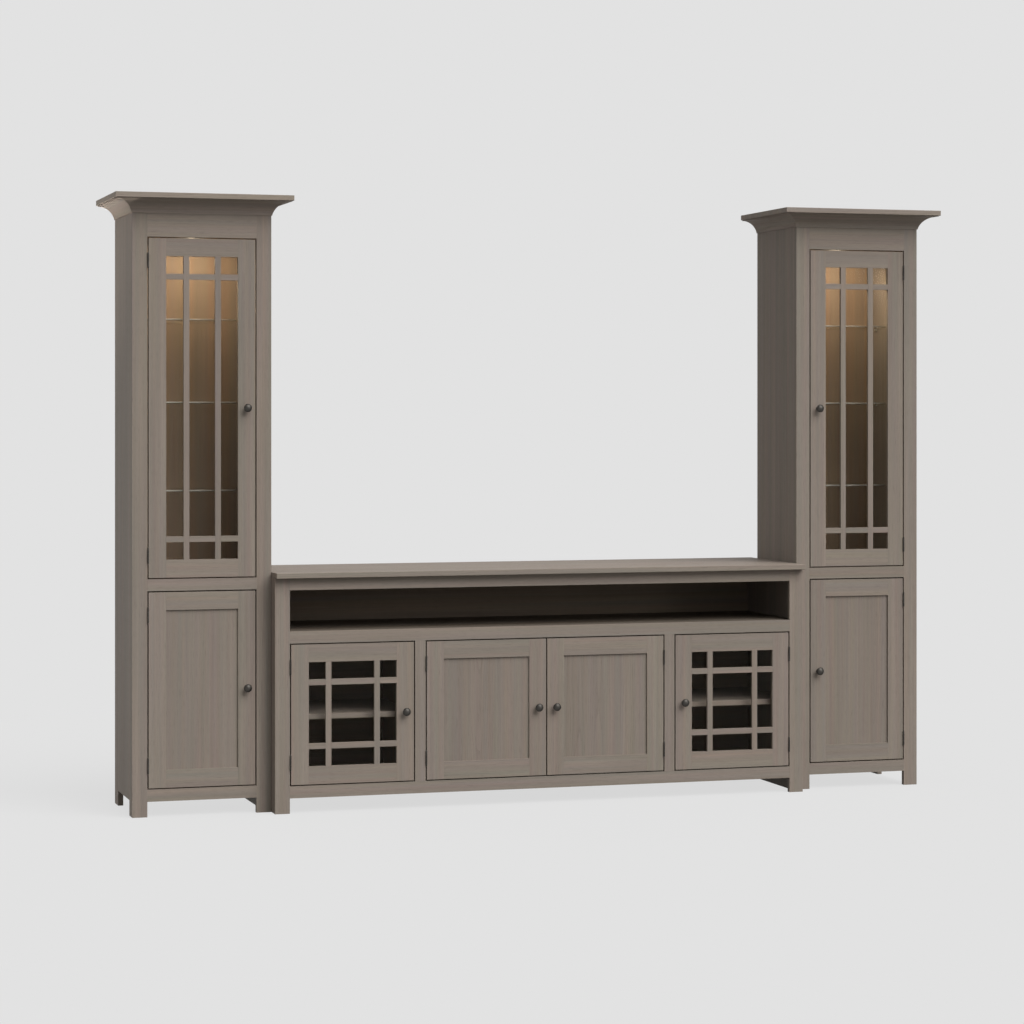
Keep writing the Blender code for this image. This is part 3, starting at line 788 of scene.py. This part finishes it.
def arc(start, end, radius, facets):
    """Points from start to end on an arc whose centre lies to the right of that direction."""
    start, end = Vector(start), Vector(end)
    half = (end - start) / 2
    aside = Vector((half.y, -half.x)).normalized() * math.sqrt(radius**2 - half.length**2)
    centre = start + half + aside
    first = math.atan2(start.y - centre.y, start.x - centre.x)
    last = math.atan2(end.y - centre.y, end.x - centre.x)
    sweep = (last - first + math.pi) % math.tau - math.pi
    angles = [first + sweep * step / facets for step in range(facets + 1)]
    return [(centre.x + radius * math.cos(a), centre.y + radius * math.sin(a)) for a in angles]


def unit_of(name):
    return next(unit for unit in UNITS if name.startswith(unit))


def decks_of(unit):
    ending = ("bottom_deck", "middle_deck", "top_deck", "media_shelf")
    return [node for node in frame["nodes"] if node.startswith(unit) and node.endswith(ending)]


def spans_of(node):
    """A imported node's box as its spans (low, high) along X, Y and Z."""
    return list(zip(*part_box(node)))


def board_thickness():
    low, high = spans_of("console_top")[Z]
    return high - low


def partition_faces(node):
    low, high = spans_of(node)[X]
    middle, half = (low + high) / 2, board_thickness() / 2
    return (middle - half, middle + half)


def dress(node, material):
    """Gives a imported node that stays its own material."""
    materials = frame["nodes"][node].data.materials
    materials.clear()
    materials.append(material)


class Door:
    """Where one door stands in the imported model."""

    def __init__(self, joint, scene):
        joinery, sizes = scene.oak_joinery, scene.oak_doors
        self.body = joint["child"]
        self.unit = unit_of(self.body)
        self.side = round(joint["axis"][Z])
        self.pivot = Vector(joint["pos_m"])
        low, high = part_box(self.body + "_frame")
        face_low, face_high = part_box(self.unit + "face_frame")
        self.front, self.back = face_low.y, face_high.y
        self.hung = self.pivot.x - self.side * joinery.door_gap / 2
        trim = (joinery.door_gap - joinery.packed_gap) / 2
        self.x = sorted((self.hung, low.x + trim if self.side > 0 else high.x - trim))
        self.z = (low.z + trim, high.z - trim)
        self.glazed = self.body + "_glass" in frame["nodes"]
        self.filling = self.body + ("_glass" if self.glazed else "_panel")
        seat = (sizes.glazing_rabbet if self.glazed else sizes.panel_groove) - joinery.clearance
        across, _, up = spans_of(self.filling)
        self.hole_x, self.hole_z = [(span[0] + seat, span[1] - seat) for span in (across, up)]
        inset = sizes.hinge_inset + sizes.barrel_length / 2
        self.hinge_levels = (self.z[1] - inset, self.z[0] + inset)

    def opening(self, gap):
        """The opening in the face frame: (low x, high x, low z, high z)."""
        return (self.x[0] - gap, self.x[1] + gap, self.z[0] - gap, self.z[1] + gap)


def doors(scene):
    return [Door(joint, scene) for joint in frame["joints"]]


# ---- Operators: one for each group of pieces, and one for the stage


class OAK_OT_case_sides(bpy.types.Operator):
    """Side panels glued from upright staves. Those on the outside stand on two feet"""

    bl_idname = "oak_centre.case_sides"
    bl_label = "Side panels"

    def execute(self, context):
        sizes = context.scene.oak_joinery
        gap, past = sizes.clearance, sizes.dado_depth
        for node, inward in SIDES.items():
            low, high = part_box(node)
            unit = unit_of(node)
            front, behind = [corner.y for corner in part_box(unit + "face_frame")]
            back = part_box(unit + "back_panel")[0]
            outer = low.x if inward > 0 else high.x
            inner = outer + inward * (behind - front)
            outline = [(low.y, 0), (high.y, 0), (high.y, high.z), (low.y, high.z)]
            if node.endswith("outer_side"):
                near, far = front + sizes.front_foot, high.y - sizes.back_foot
                height = sizes.foot_height
                outline[1:1] = [(near, 0), (near, height), (far, height), (far, 0)]
            carve = []
            x = sorted((inner - inward * sizes.dado_depth, inner + inward * past))
            for deck in decks_of(unit):
                deck_low, deck_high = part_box(deck)
                z = (deck_low.z - gap, deck_high.z - sizes.tongue_shoulder + gap)
                carve.append(((x[0], low.y - past, z[0]), (x[1], high.y + past, z[1])))
            x = sorted((inner - inward * sizes.back_rabbet, inner + inward * past))
            carve.append(((x[0], back.y - gap, back.z - gap), (x[1], high.y + past, high.z + past)))
            work = Work(node + "_staves")
            x = sorted((outer, inner))
            work.prism(outline, X, *x, Z, sizes.board_easing, sizes.stave_width, carve)
            work.place("root", "oak_face", "face", node)
        return {"FINISHED"}


class OAK_OT_face_frames(bpy.types.Operator):
    """Face frames of stiles and rails, whose end stiles run down as feet"""

    bl_idname = "oak_centre.face_frames"
    bl_label = "Face frames"

    def execute(self, context):
        sizes = context.scene.oak_joinery
        easing = sizes.frame_easing
        for unit in UNITS:
            low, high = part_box(unit + "face_frame")
            y = (low.y, high.y)
            holes = [
                door.opening(sizes.door_gap) for door in doors(context.scene) if door.unit == unit
            ]
            columns, rows = [
                sorted({(round(hole[first], 5), round(hole[first + 1], 5)) for hole in holes})
                for first in (0, 2)
            ]
            if unit == "console_":
                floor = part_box("console_media_shelf")[1].z
                rows.append((floor, floor + sizes.media_height))
            inner_x = (min(hole[0] for hole in holes), max(hole[1] for hole in holes))
            work = Work(unit + "face_frame_joinery")
            for x in ((low.x, inner_x[0]), (inner_x[1], high.x)):
                work.board(x, y, (0, high.z), Z, easing)
            edges = [sizes.foot_height] + [edge for row in rows for edge in row] + [high.z]
            for z in zip(edges[::2], edges[1::2]):
                work.board(inner_x, y, z, X, easing)
            for left, right in zip(columns, columns[1:]):
                if right[0] - left[1] > 2 * sizes.door_gap:
                    work.board((left[1], right[0]), y, rows[0], Z, easing)
            work.place("root", "oak_face", "face", unit + "face_frame")
        return {"FINISHED"}


class OAK_OT_crowns(bpy.types.Operator):
    """Flat crown boards over a mitred cove moulding on three sides"""

    bl_idname = "oak_centre.crowns"
    bl_label = "Crowns"

    def execute(self, context):
        sizes = context.scene.oak_joinery
        clearance, height, lip = sizes.clearance, sizes.cove_height, sizes.cove_lip
        reach = sizes.crown_overhang - sizes.cove_reveal
        foot, crest = (lip, sizes.cove_fillet - height), (reach, -sizes.cove_top_fillet)
        profile = [(clearance, -clearance), (reach, -clearance)]
        profile += arc(foot, crest, sizes.cove_radius, 24)[::-1]
        profile += [(lip, -height), (clearance, -height)]
        for unit in TOWERS:
            low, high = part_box(unit + "crown")
            face_low, face_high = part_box(unit + "face_frame")
            base = low.z + height
            work = Work(unit + "crown_mouldings")
            x, y = (low.x, high.x), (low.y, high.y)
            work.board(x, y, (base, high.z), X, sizes.top_easing, sizes.stave_width, rings=3)
            left, right, front, back = face_low.x, face_high.x, face_low.y, high.y
            corners = [(left, back, -1, 0), (left, front, -1, -1), (right, front, 1, -1)]
            work.moulding(profile, corners + [(right, back, 1, 0)], base)
            # The crown takes the lighter crown oak, which is painted light
            work.place("root", "oak_face", "crown", unit + "crown")
        return {"FINISHED"}


class OAK_OT_console_top(bpy.types.Operator):
    """The console's top, glued from long staves with rounded edges"""

    bl_idname = "oak_centre.console_top"
    bl_label = "Console top"

    def execute(self, context):
        sizes = context.scene.oak_joinery
        work = Work("console_top_staves")
        work.board(*spans_of("console_top"), X, sizes.top_easing, sizes.stave_width, rings=3)
        work.place("root", "oak_face", "face", "console_top")
        return {"FINISHED"}


class OAK_OT_insides(bpy.types.Operator):
    """Partitions and wooden shelves, and the inside finish of decks and backs"""

    bl_idname = "oak_centre.insides"
    bl_label = "Insides"

    def execute(self, context):
        sizes, colours = context.scene.oak_joinery, context.scene.oak_colours
        for node in PARTITIONS + SHELVES:
            x, y, z = spans_of(node)
            upright = node in PARTITIONS
            if upright:
                x = partition_faces(node)
            work = Work(node + "_board")
            work.board(x, y, z, Z if upright else X, sizes.board_easing, sizes.stave_width)
            work.place("root", "oak_interior", "inside" if upright else "face", node)
        for number, unit in enumerate(UNITS):
            cast = colours.console_tint if unit == "console_" else (1, 1, 1)
            for step, node in enumerate(decks_of(unit) + [unit + "back_panel"]):
                sheet = (X, Y, Z)
                if node.endswith("back_panel"):
                    sheet = (Z, X, Y) if unit in TOWERS else (X, Z, Y)
                # Painted shade on the media shelf, for the shade in the bay under the console top
                shade = colours.media_painted_shade if node.endswith("media_shelf") else 1.0
                tones = [
                    tuple(part * (cooler * shade) for part, cooler in zip(tone, cast))
                    for tone in (colours.inside_pale, colours.inside_deep)
                ]
                turn = (0.13 + 0.29 * step + 0.37 * number) % 1  # so that no two sheets match
                dress(node, oak(node + "_oak", *tones, colours, (*sheet, turn)))
        return {"FINISHED"}


class OAK_OT_door_frames(bpy.types.Operator):
    """Door frames of stiles, rails and muntins, with flat panels or glazing beads"""

    bl_idname = "oak_centre.door_frames"
    bl_label = "Door frames and panels"

    def execute(self, context):
        joinery, sizes = context.scene.oak_joinery, context.scene.oak_doors
        easing = joinery.frame_easing
        for door in doors(context.scene):
            work = Work(door.body + "_frame_joinery")
            y = (door.front, door.back)
            for x in ((door.x[0], door.hole_x[0]), (door.hole_x[1], door.x[1])):
                work.board(x, y, door.z, Z, easing)
            for z in ((door.z[0], door.hole_z[0]), (door.hole_z[1], door.z[1])):
                work.board(door.hole_x, y, z, X, easing)
            if door.glazed:
                self.add_muntins(work, door, easing, sizes)
            work.place(door.body, "oak_face", "face", door.body + "_frame")
            if door.glazed:
                self.add_beads(door, joinery, sizes)
            else:
                flat = Work(door.body + "_panel_staves")
                flat.board(*spans_of(door.filling), Z, easing, joinery.stave_width * WIDE_STAVES)
                flat.place(door.body, "oak_face", "panel", door.filling)
        return {"FINISHED"}

    def add_muntins(self, work, door, easing, sizes):
        """Upright bars run through, and level bars are let in between them."""
        y = (door.front, door.front + sizes.muntin_thickness)
        near, wide = sizes.corner_light, sizes.muntin_width
        bars_x, bars_z = [
            ((low + near, low + near + wide), (high - near - wide, high - near))
            for low, high in (door.hole_x, door.hole_z)
        ]
        for x in bars_x:
            work.board(x, y, door.hole_z, Z, easing)
        edges = (door.hole_x[0], *bars_x[0], *bars_x[1], door.hole_x[1])
        for z in bars_z:
            for x in zip(edges[::2], edges[1::2]):
                work.board(x, y, z, X, easing)

    def add_beads(self, door, joinery, sizes):
        """Slim beads that hold the glass in its rabbet, rounded on their inner edge."""
        low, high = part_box(door.filling)
        near = high.y + joinery.clearance
        y = (near, near + sizes.bead_depth)
        width = sizes.glazing_rabbet - 2 * joinery.clearance
        easing = joinery.board_easing * 1.5
        work = Work(door.body + "_glazing_beads")
        for x in ((low.x, low.x + width), (high.x - width, high.x)):
            work.board(x, y, (low.z, high.z), Z, easing, rings=3)
        for z in ((low.z, low.z + width), (high.z - width, high.z)):
            work.board((low.x + width, high.x - width), y, z, X, easing, rings=3)
        work.place(door.body, "oak_face", "face")


class OAK_OT_hinges(bpy.types.Operator):
    """Butt hinges: knuckles on a pin, two leaves and their countersunk screws"""

    bl_idname = "oak_centre.hinges"
    bl_label = "Hinges"

    def execute(self, context):
        gap, clearance = context.scene.oak_joinery.door_gap, context.scene.oak_joinery.clearance
        sizes = context.scene.oak_doors
        third, thick = sizes.barrel_length / 3, sizes.leaf_thickness
        for door in doors(context.scene):
            moving, fixed = Work(door.body + "_hinge_leaves"), Work(door.body + "_fixed_leaves")
            for level in door.hinge_levels:
                ends = [level + step * third for step in (-1.5, -0.5, 0.5, 1.5)]
                for work, knuckles, inner, toward in (
                    (moving, (ends[1:3],), door.hung, door.side),
                    (fixed, (ends[:2], ends[2:]), door.hung + door.side * gap, -door.side),
                ):
                    x = sorted((inner + toward * clearance / 3, inner + toward * thick))
                    self.add_leaf(work, door, x, (ends[0], ends[3]), knuckles, sizes, clearance)
                    for knuckle in knuckles:
                        self.add_knuckle(work, door, knuckle, sizes, clearance)
                    self.add_screws(work, door, inner + toward * thick, toward, level, sizes)
                for end, way in ((ends[0], -1), (ends[3], 1)):
                    self.add_tip(fixed, door, end, way, sizes)
            moving.place(door.body, "dark_pewter", "pewter")
            fixed.place("root", "dark_pewter", "pewter")
        return {"FINISHED"}

    def add_leaf(self, work, door, x, z, knuckles, sizes, clearance):
        """A leaf against an edge, with a tongue that wraps into each of its own knuckles."""
        inmost, pin = door.front + sizes.leaf_depth, door.pivot.y
        plate = pin + sizes.barrel_radius + clearance
        outline = [(inmost, z[0]), (plate, z[0])]
        for low, high in knuckles:
            low, high = low + clearance, high - clearance
            outline += [(plate, low), (pin, low), (pin, high), (plate, high)]
        outline += [(plate, z[1]), (inmost, z[1])]
        distinct = [
            point for index, point in enumerate(outline)
            if math.dist(point, outline[index - 1]) > TOUCHING
        ]
        work.prism(distinct, X, *x, Z, sizes.leaf_thickness / 5)

    def add_knuckle(self, work, door, span, sizes, clearance):
        radius, round_ = sizes.barrel_radius, clearance
        low, high = span[0] + clearance / 2, span[1] - clearance / 2
        profile = [(0, high), (radius - round_, high), (radius, high - round_),
                   (radius, low + round_), (radius - round_, low), (0, low)]
        work.turned(profile, (door.pivot.x, door.pivot.y, 0), sides=28)

    def add_tip(self, work, door, level, way, sizes):
        """The pin's rounded head."""
        radius, rise = sizes.barrel_radius * 0.84, sizes.barrel_tip
        turns = [step / 6 * math.pi / 2 for step in range(6)]
        profile = [(0, -rise / 6), (radius, -rise / 6)]
        profile += [(radius * math.cos(turn), rise * math.sin(turn)) for turn in turns]
        profile = [(r, level + way * h) for r, h in profile + [(0, rise)]]
        work.turned(profile, (door.pivot.x, door.pivot.y, 0), sides=24)

    def add_screws(self, work, door, face, toward, level, sizes):
        """Three flat screw heads, a hair proud of the leaf, the outer two set forward."""
        radius, proud = sizes.leaf_thickness * 2.1, sizes.leaf_thickness / 5
        slot, groove, chamfer = radius * 0.18, (radius * 0.24, proud * 0.2), radius * 0.85
        profile = [(0, proud), (slot, proud), groove, (radius * 0.30, proud),
                   (chamfer, proud), (radius, 0), (0, 0)]
        for step in (-1, 0, 1):
            y = door.front + sizes.leaf_depth * (0.62 if step == 0 else 0.44)
            centre = (face, y, level + step * sizes.barrel_length * 0.34)
            work.turned(profile, centre, (toward, 0, 0), 20)


class OAK_OT_knobs(bpy.types.Operator):
    """Turned pewter knobs and the screws that hold them"""

    bl_idname = "oak_centre.knobs"
    bl_label = "Knobs"

    def execute(self, context):
        sizes, clearance = context.scene.oak_fittings, context.scene.oak_joinery.clearance
        knob, screw = self.knob_profile(sizes), self.screw_profile(sizes)
        for door in doors(context.scene):
            low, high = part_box(door.body + "_knob")
            x, z = (low.x + high.x) / 2, (low.z + high.z) / 2
            work = Work(door.body + "_turned_knob")
            work.turned(knob, (x, high.y, z), (0, -1, 0), 56)
            work.place(door.body, "dark_pewter", "pewter", door.body + "_knob")
            work = Work(door.body + "_knob_screw")
            work.turned(screw, (x, door.back + clearance / 3, z), (0, 1, 0), 24)
            work.place(door.body, "dark_pewter", "nickel")
        return {"FINISHED"}

    def knob_profile(self, sizes):
        """A shallow dome with a rolled rim, on a waisted stem and a stepped foot."""
        head, neck, foot = sizes.knob_radius, sizes.knob_neck, sizes.knob_foot
        reach = sizes.knob_reach
        rim_back = reach * 0.61
        rim, shoulder = (head, rim_back + reach * 0.13), (head * 0.8, rim_back)
        dome = arc((0, reach), rim, head * 1.2, 14)
        roll = arc(rim, shoulder, head * 0.34, 6)
        stem = arc((neck, rim_back / 2), shoulder, head, 8)[::-1]
        steps = ((neck * 1.02, 0.40), (foot * 0.90, 0.31), (foot, 0.22), (foot, 0), (0, 0))
        return dome + roll[1:] + stem[1:] + [(radius, foot * height) for radius, height in steps]

    def screw_profile(self, sizes):
        """A round head with a sunk centre."""
        neck, foot = sizes.knob_neck, sizes.knob_foot
        sunk, edge, wide = foot * 0.14, neck * 0.2, neck * 0.8
        head = arc((0, foot * 0.28), (wide, foot * 0.06), neck, 8)
        profile = [(0, sunk), (neck * 0.12, sunk), (edge, foot * 0.26)]
        return profile + [point for point in head if point[0] > edge] + [(wide, 0), (0, 0)]


class OAK_OT_glass(bpy.types.Operator):
    """Panes, and glass shelves with polished edges on their pins"""

    bl_idname = "oak_centre.glass"
    bl_label = "Glass and shelf pins"

    def execute(self, context):
        joinery, sizes = context.scene.oak_joinery, context.scene.oak_fittings
        for door in doors(context.scene):
            if door.glazed:
                dress(door.filling, finishes["glass"])
        sheets = [node for node in sorted(frame["nodes"]) if "glass_shelf" in node]
        for node in sheets:
            low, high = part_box(node)
            solid = bmesh.new()
            made = bmesh.ops.create_cube(solid, size=1.0)["verts"]
            bmesh.ops.scale(solid, vec=high - low, verts=made)
            bmesh.ops.translate(solid, vec=(low + high) / 2, verts=made)
            ease(solid, joinery.board_easing, 3)
            work = Work(node + "_polished")
            work.absorb(solid, finish=lambda face: 0 if abs(face.normal.z) > LEVEL else 1)
            work.place("root", "clear_glass", "shelf shelf_edge", node)
        pins = {unit: Work(unit + "shelf_pins") for unit in UNITS}
        for node in sorted([*sheets, *SHELVES]):
            low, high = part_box(node)
            inset = (high.y - low.y) * sizes.pin_inset
            height = low.z - joinery.clearance - sizes.pin_radius
            for x, way in self.pin_walls(node, low, high):
                for y in (low.y + inset, high.y - inset):
                    self.add_pin(pins[unit_of(node)], (x, y, height), way, sizes)
        for work in pins.values():
            work.place("root", "lamp_metal", "nickel")
        return {"FINISHED"}

    def pin_walls(self, node, low, high):
        """The faces at the two ends of a shelf, and the way that pins stand out of them."""
        board = board_thickness()
        left, right = [corner.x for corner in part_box(unit_of(node) + "face_frame")]
        starts, stops = [left + board], [right - board]
        if node in SHELVES:
            for partition in PARTITIONS:
                near, far = partition_faces(partition)
                stops.append(near)
                starts.append(far)
        start = min(starts, key=lambda wall: abs(wall - low.x))
        stop = min(stops, key=lambda wall: abs(wall - high.x))
        return ((start, 1), (stop, -1))

    def add_pin(self, work, place, way, sizes):
        """A peg with a thin collar against the wall."""
        radius, reach = sizes.pin_radius, sizes.pin_reach
        collar, round_ = radius * 1.5, radius * 0.2
        profile = [(0, reach), (radius - round_, reach), (radius, reach - round_),
                   (radius, round_ * 3), (collar - round_, round_ * 3), (collar, round_ * 2),
                   (collar, 0), (0, 0)]
        work.turned(profile, place, (way, 0, 0), 20)


def add_light(scene, name, kind, energy, place=(0, 0, 0), turn=(0, 0, 0), **settings):
    """A light that no camera sees."""
    light = bpy.data.lights.new(name, kind)
    light.energy = energy
    for setting, value in settings.items():
        setattr(light, setting, value)
    holder = bpy.data.objects.new(name, light)
    holder.location, holder.rotation_euler, holder.visible_camera = place, turn, False
    scene.collection.objects.link(holder)


class OAK_OT_tower_lamps(bpy.types.Operator):
    """A warm puck lamp under the top deck of each tower"""

    bl_idname = "oak_centre.tower_lamps"
    bl_label = "Tower lamps"

    def execute(self, context):
        scene = context.scene
        sizes, clearance = scene.oak_fittings, scene.oak_joinery.clearance
        for unit in TOWERS:
            low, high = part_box(unit + "lamp")
            x, y = (low.x + high.x) / 2, (low.y + high.y) / 2
            work = Work(unit + "lamp_housing")
            self.add_puck(work, (x, y, high.z), high.z - low.z, sizes)
            work.place("root", "lamp_metal", "nickel lens", unit + "lamp")
            self.add_lights(scene, unit + "lamp", x, y, low.z - clearance, sizes.lens_radius)
        return {"FINISHED"}

    def add_puck(self, work, centre, drop, sizes):
        """A turned ring with a rounded lower edge, and a bulging lens in its recess."""
        outer, inner = sizes.lamp_radius, sizes.lens_radius
        corner = (outer, -drop * 0.62)
        ring = [(0, 0), (outer, 0), corner]
        ring += arc(corner, (outer - drop * 0.38, -drop), drop * 0.38 * 1.05, 6)[1:]
        ring += [(inner + drop * 0.10, -drop), (inner, -drop * 0.92)]
        ring += [(inner, -drop * 0.70), (0, -drop * 0.70)]
        work.turned(ring, centre, sides=64)
        seat, rim = -drop * 0.71, inner - 0.0004
        lens = arc((0, -drop * 0.98), (rim, -drop * 0.80), inner * 3.2, 8)
        work.turned(lens + [(rim, seat), (0, seat)], centre, sides=64, finish=1)

    def add_lights(self, scene, lamp, x, y, face, radius):
        """A glow that leans to the back, a downward beam, and spill on the deck above."""
        studio, warm = scene.oak_studio, scene.oak_fitting_colours.lamp
        add_light(
            scene, lamp + "_glow", "SPOT", studio.glow, (x, y - studio.glow_lead, face),
            (studio.glow_lean, 0, 0), color=warm, spot_size=studio.glow_spread, spot_blend=0.4,
            shadow_soft_size=radius * 0.6,
        )
        add_light(
            scene, lamp + "_beam", "AREA", studio.beam, (x, y, face), color=warm,
            shape="DISK", size=radius * 2, spread=studio.beam_spread,
        )
        add_light(
            scene, lamp + "_spill", "POINT", studio.spill, (x, y, face - studio.spill_drop),
            color=warm, shadow_soft_size=radius,
        )


# Soft lamps: name, the setting for its power, colour, place, target, size and spread in degrees
SOFTBOXES = (
    ("fill_softbox", "fill", (1, 1, 1), (-4.8, 0.3, 1.1), (-1.4, 0.1, 1.1), 1.8, 180),
    ("crown_softbox", "uplight", (1, 0.92, 0.82), (-1.95, 1.6, 0.05), (-1.54, 0.06, 2.1), 0.3, 20),
)
SHADOW_NEAR, SHADOW_FADE = 1.6, 1.8  # where the shadow on the floor starts to fade, and how far
FLOOR_REACH, FLOOR_DROP = 60.0, 0.0005
# The photograph's camera: where it stands, its turn, its lens in mm and its shift
CAMERA_PLACE, CAMERA_TURN = (-2.977, -9.5332, 1.373), -0.2973
CAMERA_LENS, CAMERA_SHIFT, CAMERA_FILM, CAMERA_FAR = 96.87, -0.0946, 36.0, 200.0


class OAK_OT_studio(bpy.types.Operator):
    """A pale floor and backdrop, soft lamps and the camera"""

    bl_idname = "oak_centre.studio"
    bl_label = "Studio"

    def execute(self, context):
        scene, settings = context.scene, context.scene.oak_studio
        scene.view_settings.view_transform = "Standard"
        self.add_world(scene, settings)
        self.add_floor(scene, settings)
        for name, energy, height, spread in (
            ("key_light", settings.key, settings.key_height, settings.key_spread),
            ("low_light", settings.low, settings.low_height, settings.low_spread),
        ):
            turn = (math.pi / 2 - height, 0, settings.key_turn)
            add_light(scene, name, "SUN", energy, turn=turn, angle=spread)
        for name, energy, tone, place, target, size, spread in SOFTBOXES:
            way = Vector(target) - Vector(place)
            add_light(
                scene, name, "AREA", getattr(settings, energy), place,
                way.to_track_quat("-Z", "Y").to_euler(), color=tone, shape="SQUARE", size=size,
                spread=math.radians(spread),
            )
        self.add_camera(scene)
        return {"FINISHED"}

    def add_world(self, scene, settings):
        """Even light from all round, and the backdrop wherever the camera or a mirror looks."""
        recipe = Recipe(bpy.data.worlds.new("studio_sky"))
        sky = recipe.plain("Background", (1.0, 1.0, 1.0), Strength=settings.sky)
        backdrop = recipe.plain("Background", settings.backdrop, Strength=1.0)
        scene.world = recipe.finish(recipe.blend(recipe.looked_at(), sky, backdrop))

    def add_floor(self, scene, settings):
        """A matt floor, drawn in the backdrop's colour with a share of its own shadow."""
        recipe = Recipe(bpy.data.materials.new("studio_floor"))
        looked_at = recipe.looked_at()
        place = recipe.place()
        across, deep, _ = recipe.split(place)
        away = ((across * across + deep * deep) ** 0.5 - SHADOW_NEAR) / SHADOW_FADE
        own = (1.0 - away.clamped()) * settings.shadow
        lit = settings.key * math.sin(settings.key_height) / math.pi + settings.sky
        grain = recipe.noise(place, 40.0, 2.0)
        real = recipe.mix(grain, tuple(settings.floor), shaded(settings.floor, 0.95))
        matt = recipe.principled(
            Base_Color=recipe.mix(looked_at, real, tuple(part / lit for part in settings.backdrop)),
            Roughness=0.9,
            Specular_IOR_Level=0.0,
        )
        plain = recipe.plain("Emission", settings.backdrop, Strength=1.0)
        shader = recipe.blend(looked_at * (1.0 - own), matt, plain)
        solid = bmesh.new()
        bmesh.ops.create_grid(solid, x_segments=1, y_segments=1, size=FLOOR_REACH)
        mesh = bpy.data.meshes.new("studio_floor")
        solid.to_mesh(mesh)
        solid.free()
        mesh.materials.append(recipe.finish(shader))
        floor = bpy.data.objects.new("studio_floor", mesh)
        floor.location = (0, 0, -FLOOR_DROP)
        scene.collection.objects.link(floor)

    def add_camera(self, scene):
        """A long lens at standing height, level, well to the left of the centre."""
        data = bpy.data.cameras.new("photograph_view")
        data.lens, data.shift_y = CAMERA_LENS, CAMERA_SHIFT
        data.sensor_width, data.clip_end = CAMERA_FILM, CAMERA_FAR
        camera = bpy.data.objects.new("photograph_view", data)
        camera.location, camera.rotation_euler = CAMERA_PLACE, (math.pi / 2, 0, CAMERA_TURN)
        scene.collection.objects.link(camera)
        scene.camera = camera


STEPS = (
    OAK_OT_studio,
    OAK_OT_case_sides,
    OAK_OT_face_frames,
    OAK_OT_crowns,
    OAK_OT_console_top,
    OAK_OT_insides,
    OAK_OT_door_frames,
    OAK_OT_hinges,
    OAK_OT_knobs,
    OAK_OT_glass,
    OAK_OT_tower_lamps,
)


class OAK_PT_centre(bpy.types.Panel):
    """Builds each group of pieces, and lists the sizes and colours"""

    bl_idname = "OAK_PT_centre"
    bl_label = "Oak entertainment centre"
    bl_space_type = "VIEW_3D"
    bl_region_type = "UI"
    bl_category = "Oak centre"

    def draw(self, context):
        for step in STEPS:
            self.layout.operator(step.bl_idname)
        for name, group in GROUPS.items():
            box = self.layout.box()
            box.label(text=group.__name__)
            for field in group.__annotations__:
                box.prop(getattr(context.scene, name), field)


def register():
    for item in (*GROUPS.values(), *STEPS, OAK_PT_centre):
        bpy.utils.register_class(item)
    for name, group in GROUPS.items():
        setattr(bpy.types.Scene, name, bpy.props.PointerProperty(type=group))


def unregister():
    for name in GROUPS:
        delattr(bpy.types.Scene, name)
    for item in reversed((*GROUPS.values(), *STEPS, OAK_PT_centre)):
        bpy.utils.unregister_class(item)


def main():
    register()
    make_finishes(bpy.context.scene)
    for step in STEPS:
        group, name = step.bl_idname.split(".")
        getattr(getattr(bpy.ops, group), name)()


if __name__ == "__main__":
    main()
